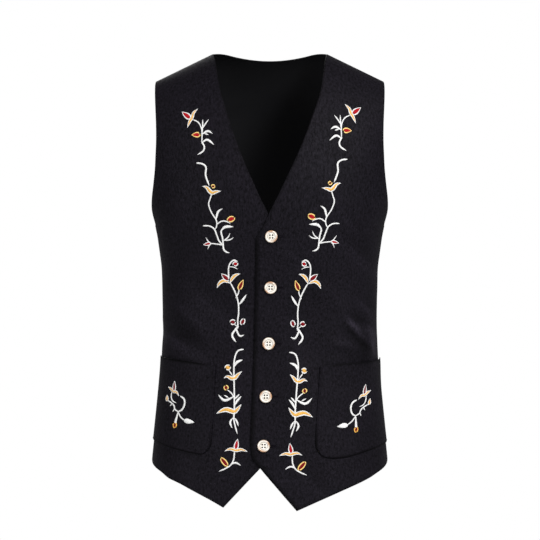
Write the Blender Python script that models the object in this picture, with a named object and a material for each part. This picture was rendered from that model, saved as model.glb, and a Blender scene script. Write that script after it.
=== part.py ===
"""Embroidered waistcoat, as it stands when it is worn: two fronts that button over each other, a plain
back, two patch pockets and five buttons, each a closed solid of its own.

Sizes are in millimetres and become metres where a mesh is made. +X is the wearer's left, +Y the wearer's
back and +Z up. The origin lies midway between the two shoulder seams, at the height of their middles.
A point of the cloth is named by its turn, the angle round the body from the centre front, and by its
climb: millimetres above the underarm line, straight up below it and over the chest above it."""

import math

import bmesh
import bpy
from mathutils import Matrix, Vector

MM = 0.001

# Cloth walls, and the gaps that keep neighbouring pieces apart
FRONT_WALL = 2.0
BACK_WALL = 1.6
POCKET_WALL = 1.4
SEAM_GAP = 0.4
LAYER_GAP = 0.45
POCKET_GAP = 0.7

# Shoulders and neck
NECK_HALF = 81.6
NECK_HEIGHT = 19.7
SHOULDER_TIP = 162.2
SHOULDER_SLOPE = math.tan(math.radians(26.0))
SEAM_BACKSET = 12.0
NECK_EASE = 24.0
NECK_BACK_DEPTH = 47.0

# The climb from the underarm line over the chest to the shoulder ridge
UNDERARM = -225.0
CHEST_CLIMB = 243.0
QUARTER = math.pi / 2

# How square the body is: across it, over the chest to the ridge, and over the shoulder blades to it
GIRTH_POWER = 2.4
CHEST_POWER = 2.0
BLADE_POWER = 2.2

# Half width and depths of the body, a row for each level under the arms: height, half_width,
# front_depth, back_depth
BODY = (
    (-660.0, 176.5, 117.0, 121.0),
    (-556.0, 167.6, 114.0, 117.0),
    (-503.0, 162.0, 111.0, 112.0),
    (-457.0, 157.4, 108.0, 106.0),
    (-421.0, 154.4, 106.0, 101.0),
    (-386.0, 152.9, 105.0, 98.0),
    (-339.0, 152.5, 106.0, 97.0),
    (-288.0, 154.4, 111.0, 102.0),
    (-245.0, 159.2, 117.0, 110.0),
    (-225.0, 163.0, 119.5, 114.0),
)

# The same above the arms, a row for each share of the rise to the ridge: rise, half_width,
# front_depth, back_depth
CHEST = (
    (0.0, 163.0, 119.5, 114.0),
    (0.06, 167.4, 120.5, 115.5),
    (0.13, 171.0, 121.5, 117.0),
    (0.3, 175.5, 123.0, 119.5),
    (0.6, 183.5, 122.0, 121.0),
    (1.0, 195.0, 120.0, 120.0),
)

# Soft folds of the fronts, a row for each: x, height, lean from upright in degrees, half_length,
# half_width, rise (a trough where it is negative)
FOLDS = (
    (107.0, -397.0, -38.0, 34.0, 7.0, 2.6),
    (124.0, -395.0, -30.0, 36.0, 12.0, -2.4),
    (146.0, -400.0, -58.0, 30.0, 12.0, 1.8),
    (-118.0, -381.0, 56.0, 46.0, 16.0, -2.2),
    (-120.0, -404.0, 62.0, 44.0, 10.0, 2.2),
    (-84.0, -330.0, 40.0, 60.0, 18.0, 1.3),
    (92.0, -330.0, -36.0, 62.0, 17.0, 1.2),
    (-60.0, -300.0, 46.0, 52.0, 13.0, -1.2),
    (64.0, -292.0, -48.0, 50.0, 13.0, -1.1),
    (-132.0, -262.0, 50.0, 40.0, 13.0, -1.6),
    (134.0, -268.0, -46.0, 38.0, 12.0, -1.6),
    (-96.0, -160.0, 20.0, 70.0, 18.0, -1.2),
    (98.0, -150.0, -16.0, 72.0, 18.0, -1.2),
    (-60.0, -480.0, 14.0, 70.0, 20.0, 1.2),
    (48.0, -470.0, -16.0, 66.0, 18.0, 1.1),
)

# Soft folds of the back, in the same columns
BACK_FOLDS = (
    (-70.0, -345.0, 62.0, 58.0, 15.0, -2.4),
    (74.0, -352.0, -66.0, 54.0, 14.0, -2.2),
    (-88.0, -378.0, 70.0, 52.0, 13.0, 2.0),
    (86.0, -384.0, -62.0, 56.0, 15.0, 2.1),
    (-112.0, -250.0, 38.0, 56.0, 15.0, -2.0),
    (116.0, -242.0, -42.0, 52.0, 14.0, -2.0),
    (-30.0, -470.0, 8.0, 70.0, 18.0, 1.6),
    (36.0, -455.0, -12.0, 62.0, 16.0, -1.6),
    (4.0, -130.0, 4.0, 80.0, 32.0, -1.2),
)

# The fronts, outlined as seen from straight ahead: x and height of each point
LEFT_FRONT = {
    "neckline": (
        (-20.0, -242.0), (-1.8, -208.5), (16.7, -171.2),
        (44.4, -111.5), (66.5, -51.9), (75.0, -17.8),
    ),
    "front_edge": ((-27.6, -533.0), (-20.0, -242.0)),
    "cutaway": ((38.2, -629.7), (12.0, -599.5), (-14.5, -568.2), (-24.6, -555.0), (-27.6, -533.0)),
    "hem": ((38.2, -629.7), (74.7, -613.6), (110.0, -598.0), (142.0, -582.8), (157.5, -572.5)),
    "side_corner": -555.0,
}
RIGHT_FRONT = {
    "neckline": (
        (17.0, -242.0), (-1.8, -208.5), (-19.9, -171.2),
        (-45.2, -111.5), (-64.8, -51.9), (-73.4, -17.8),
    ),
    "front_edge": ((11.4, -530.0), (17.0, -242.0)),
    "cutaway": ((-66.2, -624.8), (-40.0, -597.0), (-13.2, -568.7), (5.0, -550.0), (11.4, -530.0)),
    "hem": ((-66.2, -624.8), (-90.2, -611.2), (-125.4, -592.4), (-144.5, -583.0), (-157.5, -572.5)),
    "side_corner": -556.0,
}

# Armhole edges seen from the front, from the underarm up to the shoulder tip: x, height
FRONT_ARMHOLE = ((168.2, -200.0), (165.6, -163.0), (163.0, -128.0), (162.4, -76.0))
BACK_ARMHOLE = ((164.5, -196.0), (157.5, -155.0), (155.5, -105.0), (158.0, -58.0))
# The armhole's round foot, this far to each side of the side seam: turn in degrees, climb
ARMHOLE_FOOT = (10.0, 3.0)

# Back hem, from the side seam to the centre: x, height
BACK_HEM = ((150.0, -560.0), (100.0, -564.0), (50.0, -566.0), (0.0, -566.5))

# Patch pockets, seen from the front: corners at the top, and the points of the rounded lower edge
LEFT_POCKET = {
    "top": ((71.3, -423.6), (115.0, -419.5), (150.0, -415.5)),
    "top_at_seam": -412.0,
    "inner": ((71.3, -423.6), (67.5, -478.0), (64.5, -530.0), (67.5, -544.0), (72.5, -550.0)),
    "bottom": ((72.5, -550.0), (82.6, -554.5), (106.8, -553.8), (140.0, -544.0), (158.0, -537.0)),
    "bottom_at_seam": -530.0,
}
RIGHT_POCKET = {
    "top": ((-76.7, -423.6), (-115.0, -417.5), (-146.0, -412.0)),
    "top_at_seam": -409.0,
    "inner": ((-76.7, -423.6), (-79.5, -478.0), (-82.3, -529.0), (-86.5, -542.0), (-93.0, -547.5)),
    "bottom": ((-93.0, -547.5), (-101.0, -549.0), (-130.0, -543.0), (-150.0, -536.5), (-160.0, -532.0)),
    "bottom_at_seam": -527.0,
}

# The pockets' mouths stand off by the gape at this height, easing to nothing below it. The right one
# also eases to nothing over this many degrees before its side seam
POCKET_MOUTH = -415.0
MOUTH_EASE = 45.0
MOUTH_GAPE = 1.5
SEAM_EASE = 22.0

# Buttons down the overlap, which leans a little to the wearer's right: x, height
BUTTONS = ((2.1, -239.6), (1.1, -312.3), (-1.7, -392.1), (-5.7, -467.5), (-8.7, -537.5))
# Turned profile of a button, from the middle of its face to the middle of its back: radius, height
BUTTON_PROFILE = (
    (0.0, 1.9),
    (5.0, 1.9),
    (6.2, 2.7),
    (8.0, 3.0),
    (9.0, 2.2),
    (8.8, 1.1),
    (6.0, 0.0),
)
BUTTON_SIDES = 20
HOLE_RADIUS = 0.85
HOLE_SPREAD = 1.95
HOLE_SIDES = 8
SHANK_RADIUS = 1.1
SHANK_SIDES = 8
BUTTON_LIFT = 0.4

# Buttonholes: from just past the shank towards the wearer's left, narrowing to the far end
SLIT_BEFORE = 1.9
SLIT_LENGTH = 19.0
SLIT_WIDE = 3.2
SLIT_NARROW = 1.0

# The left front lies over the right one: it is lifted by a layer as far as this past the under edge
OVERLAP_REACH = 8.0
OVERLAP_EASE = 52.0

# Squares of the cloth's grid: columns across a piece, and rows below and above the underarm line
FRONT_COLUMNS = 16
BACK_COLUMNS = 26
ROWS_BELOW = 25
ROWS_ABOVE = 16
BACK_ROWS_BELOW = 20
BACK_ROWS_ABOVE = 14
POCKET_COLUMNS = 13
POCKET_ROWS = 11
STEPS_PER_SPAN = 24


def table_value(table, column, at):
    """A column of a table at any place, on a smooth curve through its rows."""
    last = len(table) - 1
    row = 0
    while row < last - 1 and at > table[row + 1][0]:
        row += 1
    here, there = table[row], table[row + 1]
    before, after = table[max(row - 1, 0)], table[min(row + 2, last)]
    span = there[0] - here[0]
    share = min(max((at - here[0]) / span, 0.0), 1.0)
    slope_here = (there[column] - before[column]) / (there[0] - before[0]) * span
    slope_there = (after[column] - here[column]) / (after[0] - here[0]) * span
    square, cube = share**2, share**3
    return (
        (2 * cube - 3 * square + 1) * here[column]
        + (cube - 2 * square + share) * slope_here
        + (3 * square - 2 * cube) * there[column]
        + (cube - square) * slope_there
    )


def eased(share):
    """0 to 1 with a soft start and end."""
    share = min(max(share, 0.0), 1.0)
    return share * share * (3 - 2 * share)


def squared_circle(angle, power):
    """Sine and cosine of an angle, on a circle that bulges towards a square as the power grows."""
    sine, cosine = math.sin(angle), math.cos(angle)
    reach = (abs(sine) ** power + abs(cosine) ** power) ** (-1 / power)
    return sine * reach, cosine * reach


def ridge_height(x):
    """Height of the shoulder line over x: a straight slope outside the neck, easing over inside it."""
    past = max(abs(x) - NECK_HALF, -NECK_EASE)
    if past >= 0:
        return NECK_HEIGHT - SHOULDER_SLOPE * past
    return NECK_HEIGHT - SHOULDER_SLOPE * past * (1 + past / (2 * NECK_EASE))


def seam_depth(x):
    """How far behind the origin the shoulder seam lies at x."""
    return SEAM_BACKSET * min((SHOULDER_TIP - abs(x)) / (SHOULDER_TIP - NECK_HALF), 1.0)


def body_point(turn, climb):
    """The plain form of the garment's outer face, without folds."""
    side, ahead = squared_circle(turn, GIRTH_POWER)
    if climb <= 0:
        height = UNDERARM + climb
        row_table, at, rise, left = BODY, height, 0.0, 1.0
    else:
        power = CHEST_POWER if ahead > 0 else BLADE_POWER
        rise, left = squared_circle(climb / CHEST_CLIMB * QUARTER, power)
        row_table, at = CHEST, rise
    x = table_value(row_table, 1, at) * side
    depth = table_value(row_table, 2 if ahead > 0 else 3, at)
    if climb > 0:
        height = UNDERARM + rise * (ridge_height(x) - UNDERARM)
    y = seam_depth(x) * rise**2 - depth * ahead * left
    return Vector((x, y, height))


def outward(turn, climb):
    """The direction that faces away from the body there."""
    across = body_point(turn + 0.002, climb) - body_point(turn - 0.002, climb)
    up = body_point(turn, climb + 0.3) - body_point(turn, climb - 0.3)
    return across.cross(up).normalized()


def fold_rise(point):
    """How far the soft folds lift the cloth at a point of the plain form."""
    total = 0.0
    for x, height, lean, half_length, half_width, rise in FOLDS if point.y < 0 else BACK_FOLDS:
        angle = math.radians(lean)
        right, up = point.x - x, point.z - height
        along = (right * math.sin(angle) + up * math.cos(angle)) / half_length
        aside = (right * math.cos(angle) - up * math.sin(angle)) / half_width
        total += rise * math.exp(-(along**2) - aside**2)
    return total


def cloth_point(turn, climb, off=0.0):
    """A point of the cloth, moved out by a layer where one lies on another."""
    plain = body_point(turn, climb)
    return plain + outward(turn, climb) * (fold_rise(plain) + off)


def from_front(x, height, behind=False):
    """Turn and climb of the point that shows at x and height when seen from the front, or from behind."""
    if height <= UNDERARM:
        climb = height - UNDERARM
        half = table_value(BODY, 1, height)
    else:
        rise = min((height - UNDERARM) / (ridge_height(x) - UNDERARM), 1.0)
        power = BLADE_POWER if behind else CHEST_POWER
        left = (1 - rise**power) ** (1 / power)
        climb = CHEST_CLIMB * math.atan2(rise, left) / QUARTER
        half = table_value(CHEST, 1, rise)
    side = min(abs(x) / half, 1.0)
    turn = math.atan2(side, (1 - side**GIRTH_POWER) ** (1 / GIRTH_POWER))
    if behind:
        turn = math.pi - turn
    return math.copysign(turn, x), climb


def seam_turn(side, height, behind=False):
    """Turn of a side seam's edge, half a gap short of the side."""
    depth = table_value(BODY, 3 if behind else 2, height)
    short = SEAM_GAP / 2 / depth
    return side * (QUARTER + short if behind else QUARTER - short)


def shoulder_place(x, behind=False):
    """Turn and climb of a shoulder seam's edge at x, half a gap short of the ridge."""
    turn, _ = from_front(x, ridge_height(x), behind)
    _, ahead = squared_circle(turn, GIRTH_POWER)
    depth = table_value(CHEST, 3 if behind else 2, 1.0) * abs(ahead)
    return turn, CHEST_CLIMB * (1 - SEAM_GAP / 2 / depth / QUARTER)


def smooth_line(places):
    """Many places on a smooth curve through a few."""
    found = []
    last = len(places) - 1
    for span in range(last):
        rows = [places[min(max(span + shift, 0), last)] for shift in (-1, 0, 1, 2)]
        for step in range(STEPS_PER_SPAN):
            t = step / STEPS_PER_SPAN
            weights = (
                (-t + 2 * t**2 - t**3) / 2,
                (2 - 5 * t**2 + 3 * t**3) / 2,
                (t + 4 * t**2 - 3 * t**3) / 2,
                (t**3 - t**2) / 2,
            )
            found.append(tuple(sum(w * row[axis] for w, row in zip(weights, rows)) for axis in (0, 1)))
    found.append(tuple(places[last]))
    return found


def spaced(places, count):
    """count + 1 of the line's places, an even distance apart over the cloth."""
    points = [body_point(*place) for place in places]
    run = [0.0]
    for first, second in zip(points, points[1:]):
        run.append(run[-1] + (second - first).length)
    chosen = []
    at = 0
    for number in range(count + 1):
        goal = run[-1] * number / count
        while at < len(run) - 2 and run[at + 1] < goal:
            at += 1
        share = (goal - run[at]) / (run[at + 1] - run[at])
        chosen.append(
            tuple(a + (b - a) * share for a, b in zip(places[at], places[at + 1]))
        )
    return chosen


def patch(inner, outer, lower, upper):
    """Places all over a four-sided piece of cloth, from its four edges: rows of columns, lower row first."""
    rows, columns = len(inner) - 1, len(lower) - 1
    grid = []
    for row in range(rows + 1):
        v = row / rows
        line = []
        for column in range(columns + 1):
            u = column / columns
            line.append(
                tuple(
                    (1 - u) * inner[row][axis]
                    + u * outer[row][axis]
                    + (1 - v) * lower[column][axis]
                    + v * upper[column][axis]
                    - (1 - u) * (1 - v) * inner[0][axis]
                    - u * (1 - v) * outer[0][axis]
                    - (1 - u) * v * inner[rows][axis]
                    - u * v * outer[rows][axis]
                    for axis in (0, 1)
                )
            )
        grid.append(line)
    return grid


def make_material(name, colour, roughness, metallic=0.0):
    material = bpy.data.materials.new(name)
    material.use_nodes = True
    shader = material.node_tree.nodes["Principled BSDF"]
    shader.inputs["Base Color"].default_value = (*colour, 1.0)
    shader.inputs["Roughness"].default_value = roughness
    shader.inputs["Metallic"].default_value = metallic
    return material


def add_object(name, mesh_data, material):
    mesh = bpy.data.meshes.new(name)
    mesh_data.to_mesh(mesh)
    mesh_data.free()
    mesh.materials.append(material)
    mesh.shade_smooth()
    mesh.set_sharp_from_angle(angle=math.radians(50))
    piece = bpy.data.objects.new(name, mesh)
    bpy.context.scene.collection.objects.link(piece)
    return piece


def cloth_piece(name, grid, wall, material, off=None):
    """A closed wall of cloth over a grid of places. off gives how far a place is moved out."""
    solid = bmesh.new()
    faces = ([], [])
    for line in grid:
        outside, inside = [], []
        for turn, climb in line:
            layer = off(turn, climb) if off else 0.0
            outside.append(solid.verts.new(cloth_point(turn, climb, layer) * MM))
            inside.append(solid.verts.new(cloth_point(turn, climb, layer - wall) * MM))
        faces[0].append(outside)
        faces[1].append(inside)
    for rows in faces:
        for lower, upper in zip(rows, rows[1:]):
            for column in range(len(lower) - 1):
                solid.faces.new((lower[column], lower[column + 1], upper[column + 1], upper[column]))
    outside, inside = faces
    edge_loops = []
    for rows in (outside, inside):
        around = rows[0] + [row[-1] for row in rows[1:]]
        around += rows[-1][-2::-1] + [row[0] for row in rows[-2:0:-1]]
        edge_loops.append(around)
    outer_loop, inner_loop = edge_loops
    for spot in range(len(outer_loop)):
        following = (spot + 1) % len(outer_loop)
        solid.faces.new(
            (outer_loop[spot], outer_loop[following], inner_loop[following], inner_loop[spot])
        )
    bmesh.ops.recalc_face_normals(solid, faces=solid.faces)
    return add_object(name, solid, material)


def front_grid(outline, side):
    """Places over one front, from the hem to the shoulder and from the front edge to the side."""
    cutaway = smooth_line([from_front(*point) for point in outline["cutaway"]])
    edge = smooth_line([from_front(*point) for point in outline["front_edge"]])
    corner = outline["side_corner"]
    below = spaced(cutaway + edge[1:], ROWS_BELOW)
    neck_end = shoulder_place(side * NECK_HALF)
    neckline = [from_front(*point) for point in outline["neckline"]] + [neck_end]
    above = spaced(smooth_line(neckline), ROWS_ABOVE)
    hem_corner = (seam_turn(side, corner), corner - UNDERARM)
    hem = [from_front(*point) for point in outline["hem"]] + [hem_corner]
    underarm = (seam_turn(side, UNDERARM), 0.0)
    tip = shoulder_place(side * SHOULDER_TIP)
    foot_turn, foot_climb = ARMHOLE_FOOT
    armhole = [underarm, (side * (QUARTER - math.radians(foot_turn)), foot_climb)]
    armhole += [from_front(side * x, height) for x, height in FRONT_ARMHOLE] + [tip]
    seam = [
        (seam_turn(side, UNDERARM + share * hem_corner[1]), share * hem_corner[1])
        for share in (number / STEPS_PER_SPAN for number in range(STEPS_PER_SPAN, -1, -1))
    ]
    outer = spaced(seam, ROWS_BELOW) + spaced(smooth_line(armhole), ROWS_ABOVE)[1:]
    shoulder = [
        shoulder_place(side * (NECK_HALF + (SHOULDER_TIP - NECK_HALF) * number / FRONT_COLUMNS))
        for number in range(FRONT_COLUMNS + 1)
    ]
    return patch(below + above[1:], outer, spaced(smooth_line(hem), FRONT_COLUMNS), shoulder)


def back_edge(side):
    """One side of the back, from the hem up the side seam and the armhole to the shoulder tip."""
    corner = LEFT_FRONT["side_corner"] if side > 0 else RIGHT_FRONT["side_corner"]
    foot = corner - UNDERARM
    seam = [
        (unwrapped(seam_turn(side, UNDERARM + share * foot, True)), share * foot)
        for share in (number / STEPS_PER_SPAN for number in range(STEPS_PER_SPAN, -1, -1))
    ]
    foot_turn, foot_climb = ARMHOLE_FOOT
    armhole = [seam[-1], (unwrapped(side * (QUARTER + math.radians(foot_turn))), foot_climb)]
    for x, height in BACK_ARMHOLE:
        turn, climb = from_front(side * x, height, True)
        armhole.append((unwrapped(turn), climb))
    turn, climb = shoulder_place(side * SHOULDER_TIP, True)
    armhole.append((unwrapped(turn), climb))
    return spaced(seam, BACK_ROWS_BELOW) + spaced(smooth_line(armhole), BACK_ROWS_ABOVE)[1:]


def unwrapped(turn):
    """A turn counted on past the centre back, so that the back runs on from one side to the other."""
    return turn if turn > 0 else turn + 2 * math.pi


def back_grid():
    """Places over the back, from the wearer's left side seam round to the right one."""
    foot = [(unwrapped(seam_turn(1, LEFT_FRONT["side_corner"], True)), LEFT_FRONT["side_corner"] - UNDERARM)]
    for x, height in BACK_HEM + tuple((-x, height) for x, height in BACK_HEM[-2::-1]):
        turn, climb = from_front(x, height, True)
        foot.append((unwrapped(turn), climb))
    right_corner = RIGHT_FRONT["side_corner"]
    foot.append((unwrapped(seam_turn(-1, right_corner, True)), right_corner - UNDERARM))
    shoulder_columns = 7
    neck_columns = BACK_COLUMNS - 2 * shoulder_columns
    reach = SHOULDER_TIP - NECK_HALF
    top = []
    for number in range(shoulder_columns):
        turn, climb = shoulder_place(SHOULDER_TIP - reach * number / shoulder_columns, True)
        top.append((unwrapped(turn), climb))
    for number in range(neck_columns + 1):
        turn, climb = back_neck_place(math.pi * number / neck_columns)
        top.append((unwrapped(turn), climb))
    for number in range(1, shoulder_columns + 1):
        turn, climb = shoulder_place(-NECK_HALF - reach * number / shoulder_columns, True)
        top.append((unwrapped(turn), climb))
    return patch(back_edge(1), back_edge(-1), spaced(smooth_line(foot), BACK_COLUMNS), top)


def back_neck_place(angle):
    """Turn and climb on the back's neckline, half an oval as seen from above: 0 at the left neck point."""
    x, behind = NECK_HALF * math.cos(angle), NECK_BACK_DEPTH * math.sin(angle)
    turn, climb = shoulder_place(x, True)
    _, ahead = squared_circle(turn, GIRTH_POWER)
    left = behind / (table_value(CHEST, 3, 1.0) * abs(ahead))
    rise = (1 - left**BLADE_POWER) ** (1 / BLADE_POWER)
    return turn, min(CHEST_CLIMB * math.atan2(rise, left) / QUARTER, climb)


def pocket_grid(outline, side):
    """Places over one patch pocket, whose outer edge is caught in the side seam."""
    seam_top, seam_foot = outline["top_at_seam"], outline["bottom_at_seam"]
    top_corner = (seam_turn(side, seam_top), seam_top - UNDERARM)
    low_corner = (seam_turn(side, seam_foot), seam_foot - UNDERARM)
    top = [from_front(*point) for point in outline["top"]] + [top_corner]
    bottom = [from_front(*point) for point in outline["bottom"]] + [low_corner]
    inner = [from_front(*point) for point in reversed(outline["inner"])]
    outer = [low_corner, top_corner]
    return patch(
        spaced(smooth_line(inner), POCKET_ROWS),
        spaced(smooth_line(outer), POCKET_ROWS),
        spaced(smooth_line(bottom), POCKET_COLUMNS),
        spaced(smooth_line(top), POCKET_COLUMNS),
    )


def overlap_lift(turn, climb):
    """How far the left front is lifted over the right one."""
    point = body_point(turn, climb)
    (low_x, low_height), (high_x, high_height) = RIGHT_FRONT["front_edge"]
    share = (point.z - low_height) / (high_height - low_height)
    under_edge = low_x + (high_x - low_x) * min(max(share, 0.0), 1.0)
    past = point.x - under_edge - OVERLAP_REACH
    return (FRONT_WALL + LAYER_GAP) * (1 - eased(past / OVERLAP_EASE))


def pocket_off(turn, climb):
    """A pocket lies on its front, a gap and a wall out from it, and its mouth stands off a little more."""
    under = overlap_lift(turn, climb) if turn > 0 else 0.0
    mouth = (UNDERARM + climb - POCKET_MOUTH) / MOUTH_EASE + 1
    beside = 1.0 if turn > 0 else eased((QUARTER + turn) / math.radians(SEAM_EASE))
    return under + POCKET_GAP + POCKET_WALL + MOUTH_GAPE * eased(mouth) * beside


def upright_on(point, normal):
    """The turning matrix whose Z is the cloth's outward direction and whose Y is the most upright one."""
    across = Vector((0, 0, 1)).cross(normal).normalized()
    up = normal.cross(across)
    turned = Matrix((across, up, normal)).transposed().to_4x4()
    turned.translation = point * MM
    return turned


def prism(outline, low, high):
    """A closed straight-sided solid over a flat outline."""
    solid = bmesh.new()
    rings = [[solid.verts.new((x * MM, y * MM, z * MM)) for x, y in outline] for z in (low, high)]
    solid.faces.new(rings[0][::-1])
    solid.faces.new(rings[1])
    for spot in range(len(outline)):
        following = (spot + 1) % len(outline)
        solid.faces.new((rings[0][spot], rings[0][following], rings[1][following], rings[1][spot]))
    return solid


def cutter(name, solid, placing):
    """A hidden shape that a Boolean cuts away."""
    mesh = bpy.data.meshes.new(name)
    solid.to_mesh(mesh)
    solid.free()
    tool = bpy.data.objects.new(name, mesh)
    tool.matrix_world = placing
    tool.hide_render = True
    tool.display_type = "WIRE"
    bpy.context.scene.collection.objects.link(tool)
    return tool


def cut_away(piece, tool):
    modifier = piece.modifiers.new("cut_" + tool.name, "BOOLEAN")
    modifier.operation = "DIFFERENCE"
    modifier.object = tool


def cut_buttonhole(front, number, placing):
    """A narrow slot through the left front, wide enough at one end for the shank's thread."""
    wide, narrow = SLIT_WIDE / 2, SLIT_NARROW / 2
    far = SLIT_LENGTH - SLIT_BEFORE
    outline = (
        (-SLIT_BEFORE, -wide * 0.6),
        (-SLIT_BEFORE * 0.5, -wide),
        (SLIT_BEFORE * 0.7, -wide),
        (far, -narrow),
        (far, narrow),
        (SLIT_BEFORE * 0.7, wide),
        (-SLIT_BEFORE * 0.5, wide),
        (-SLIT_BEFORE, wide * 0.6),
    )
    tool = cutter(f"buttonhole_{number}", prism(outline, -FRONT_WALL * 3, FRONT_WALL * 2), placing)
    cut_away(front, tool)


def circle(radius, sides):
    return [
        (radius * math.cos(2 * math.pi * n / sides), radius * math.sin(2 * math.pi * n / sides))
        for n in range(sides)
    ]


def make_button(number, placing, shank_drop, material):
    """A turned four-hole button on its thread shank, which ends just clear of the under front."""
    solid = bmesh.new()
    rings = []
    for radius, height in BUTTON_PROFILE[1:]:
        rings.append([solid.verts.new((x * MM, y * MM, height * MM)) for x, y in circle(radius, BUTTON_SIDES)])
    solid.faces.new(rings[0])
    for upper, lower in zip(rings, rings[1:]):
        for spot in range(BUTTON_SIDES):
            following = (spot + 1) % BUTTON_SIDES
            solid.faces.new((upper[following], upper[spot], lower[spot], lower[following]))
    solid.faces.new(rings[-1][::-1])
    bmesh.ops.recalc_face_normals(solid, faces=solid.faces)
    button = add_object(f"button_{number}", solid, material)
    button.matrix_world = placing
    shank = cutter(f"shank_{number}", prism(circle(SHANK_RADIUS, SHANK_SIDES), -shank_drop, 1.0), placing)
    joined = button.modifiers.new("shank", "BOOLEAN")
    joined.operation = "UNION"
    joined.object = shank
    for spot, (x, y) in enumerate(circle(HOLE_SPREAD * math.sqrt(2), 4)):
        hole = prism([(x + a, y + b) for a, b in circle(HOLE_RADIUS, HOLE_SIDES)], -1.0, 4.0)
        quarter_turned = placing @ Matrix.Rotation(math.radians(45), 4, "Z")
        cut_away(button, cutter(f"hole_{number}_{spot}", hole, quarter_turned))
    return button


def main():
    for leftover in list(bpy.data.objects):
        bpy.data.objects.remove(leftover)
    cloth = make_material("black_cloth", (0.012, 0.011, 0.014), 0.85)
    back_cloth = make_material("black_back_cloth", (0.010, 0.010, 0.012), 0.6)
    pearl = make_material("cream_button", (0.78, 0.70, 0.58), 0.3)

    left = cloth_piece("front_left", front_grid(LEFT_FRONT, 1), FRONT_WALL, cloth, overlap_lift)
    cloth_piece("front_right", front_grid(RIGHT_FRONT, -1), FRONT_WALL, cloth)
    cloth_piece("back", back_grid(), BACK_WALL, back_cloth)
    cloth_piece("pocket_left", pocket_grid(LEFT_POCKET, 1), POCKET_WALL, cloth, pocket_off)
    cloth_piece("pocket_right", pocket_grid(RIGHT_POCKET, -1), POCKET_WALL, cloth, pocket_off)

    for number, (x, height) in enumerate(BUTTONS, 1):
        turn, climb = from_front(x, height)
        lift = overlap_lift(turn, climb)
        placing = upright_on(cloth_point(turn, climb, lift), outward(turn, climb))
        cut_buttonhole(left, number, placing)
        button_placing = placing @ Matrix.Translation((0, 0, BUTTON_LIFT * MM))
        make_button(number, button_placing, lift + BUTTON_LIFT - LAYER_GAP, pearl)


main()
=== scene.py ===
"""Embroidered waistcoat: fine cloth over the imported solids, satin-stitched sprigs, buttons and their
buttonholes, on a pale floor under soft light.

Sizes are in millimetres and become metres where a mesh is made. +X is the wearer's left, +Y the wearer's
back and +Z up. A point of the cloth is named by its turn, the angle round the body from the centre front,
and by its climb: millimetres above the underarm line, straight up below it and over the chest above it."""

import math

import bmesh
import bpy
import numpy as np
from mathutils import Matrix, Vector


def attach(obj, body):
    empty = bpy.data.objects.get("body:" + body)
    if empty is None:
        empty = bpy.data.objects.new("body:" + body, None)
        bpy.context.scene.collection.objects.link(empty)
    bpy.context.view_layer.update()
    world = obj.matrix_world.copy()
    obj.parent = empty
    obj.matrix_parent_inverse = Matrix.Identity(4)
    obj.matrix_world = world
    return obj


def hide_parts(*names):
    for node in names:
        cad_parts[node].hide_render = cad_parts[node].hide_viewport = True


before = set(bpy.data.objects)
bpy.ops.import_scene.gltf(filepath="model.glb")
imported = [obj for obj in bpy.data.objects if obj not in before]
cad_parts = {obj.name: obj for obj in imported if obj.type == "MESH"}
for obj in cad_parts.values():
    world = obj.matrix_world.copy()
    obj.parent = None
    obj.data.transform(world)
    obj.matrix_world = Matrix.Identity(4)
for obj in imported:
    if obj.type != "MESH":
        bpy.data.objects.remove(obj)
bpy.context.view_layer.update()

MM = 0.001

# Cloth walls, and the gaps that keep neighbouring pieces apart
FRONT_WALL = 2.0
BACK_WALL = 1.6
POCKET_WALL = 1.4
SEAM_GAP = 0.03
LAYER_GAP = 0.45
POCKET_GAP = 0.25

# Shoulders and neck
NECK_HALF = 81.6
NECK_HEIGHT = 19.7
SHOULDER_TIP = 162.2
SHOULDER_SLOPE = math.tan(math.radians(26.0))
SEAM_BACKSET = 12.0
NECK_EASE = 24.0
NECK_BACK_DEPTH = 47.0

# The climb from the underarm line over the chest to the shoulder ridge
UNDERARM = -225.0
CHEST_CLIMB = 243.0
QUARTER = math.pi / 2
# Half the span over which the cloth's outward direction is measured: in turn and in climb
TURN_STEP = 0.002
CLIMB_STEP = 0.3

# How square the body is: across it, over the chest to the ridge, and over the shoulder blades to it
GIRTH_POWER = 2.4
CHEST_POWER = 2.0
BLADE_POWER = 2.2

# Half width and depths of the body, a row for each level under the arms: height, half_width,
# front_depth, back_depth
BODY = (
    (-660.0, 176.5, 117.0, 121.0),
    (-556.0, 167.6, 114.0, 117.0),
    (-503.0, 162.0, 111.0, 112.0),
    (-457.0, 157.4, 108.0, 106.0),
    (-421.0, 154.4, 106.0, 101.0),
    (-386.0, 152.9, 105.0, 98.0),
    (-339.0, 152.5, 106.0, 97.0),
    (-288.0, 154.4, 111.0, 102.0),
    (-245.0, 159.2, 117.0, 110.0),
    (-225.0, 163.0, 119.5, 114.0),
)

# The same above the arms, a row for each share of the rise to the ridge: rise, half_width,
# front_depth, back_depth
CHEST = (
    (0.0, 163.0, 119.5, 114.0),
    (0.06, 167.4, 120.5, 115.5),
    (0.13, 171.0, 121.5, 117.0),
    (0.3, 175.5, 123.0, 119.5),
    (0.6, 183.5, 122.0, 121.0),
    (1.0, 195.0, 120.0, 120.0),
)

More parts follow.
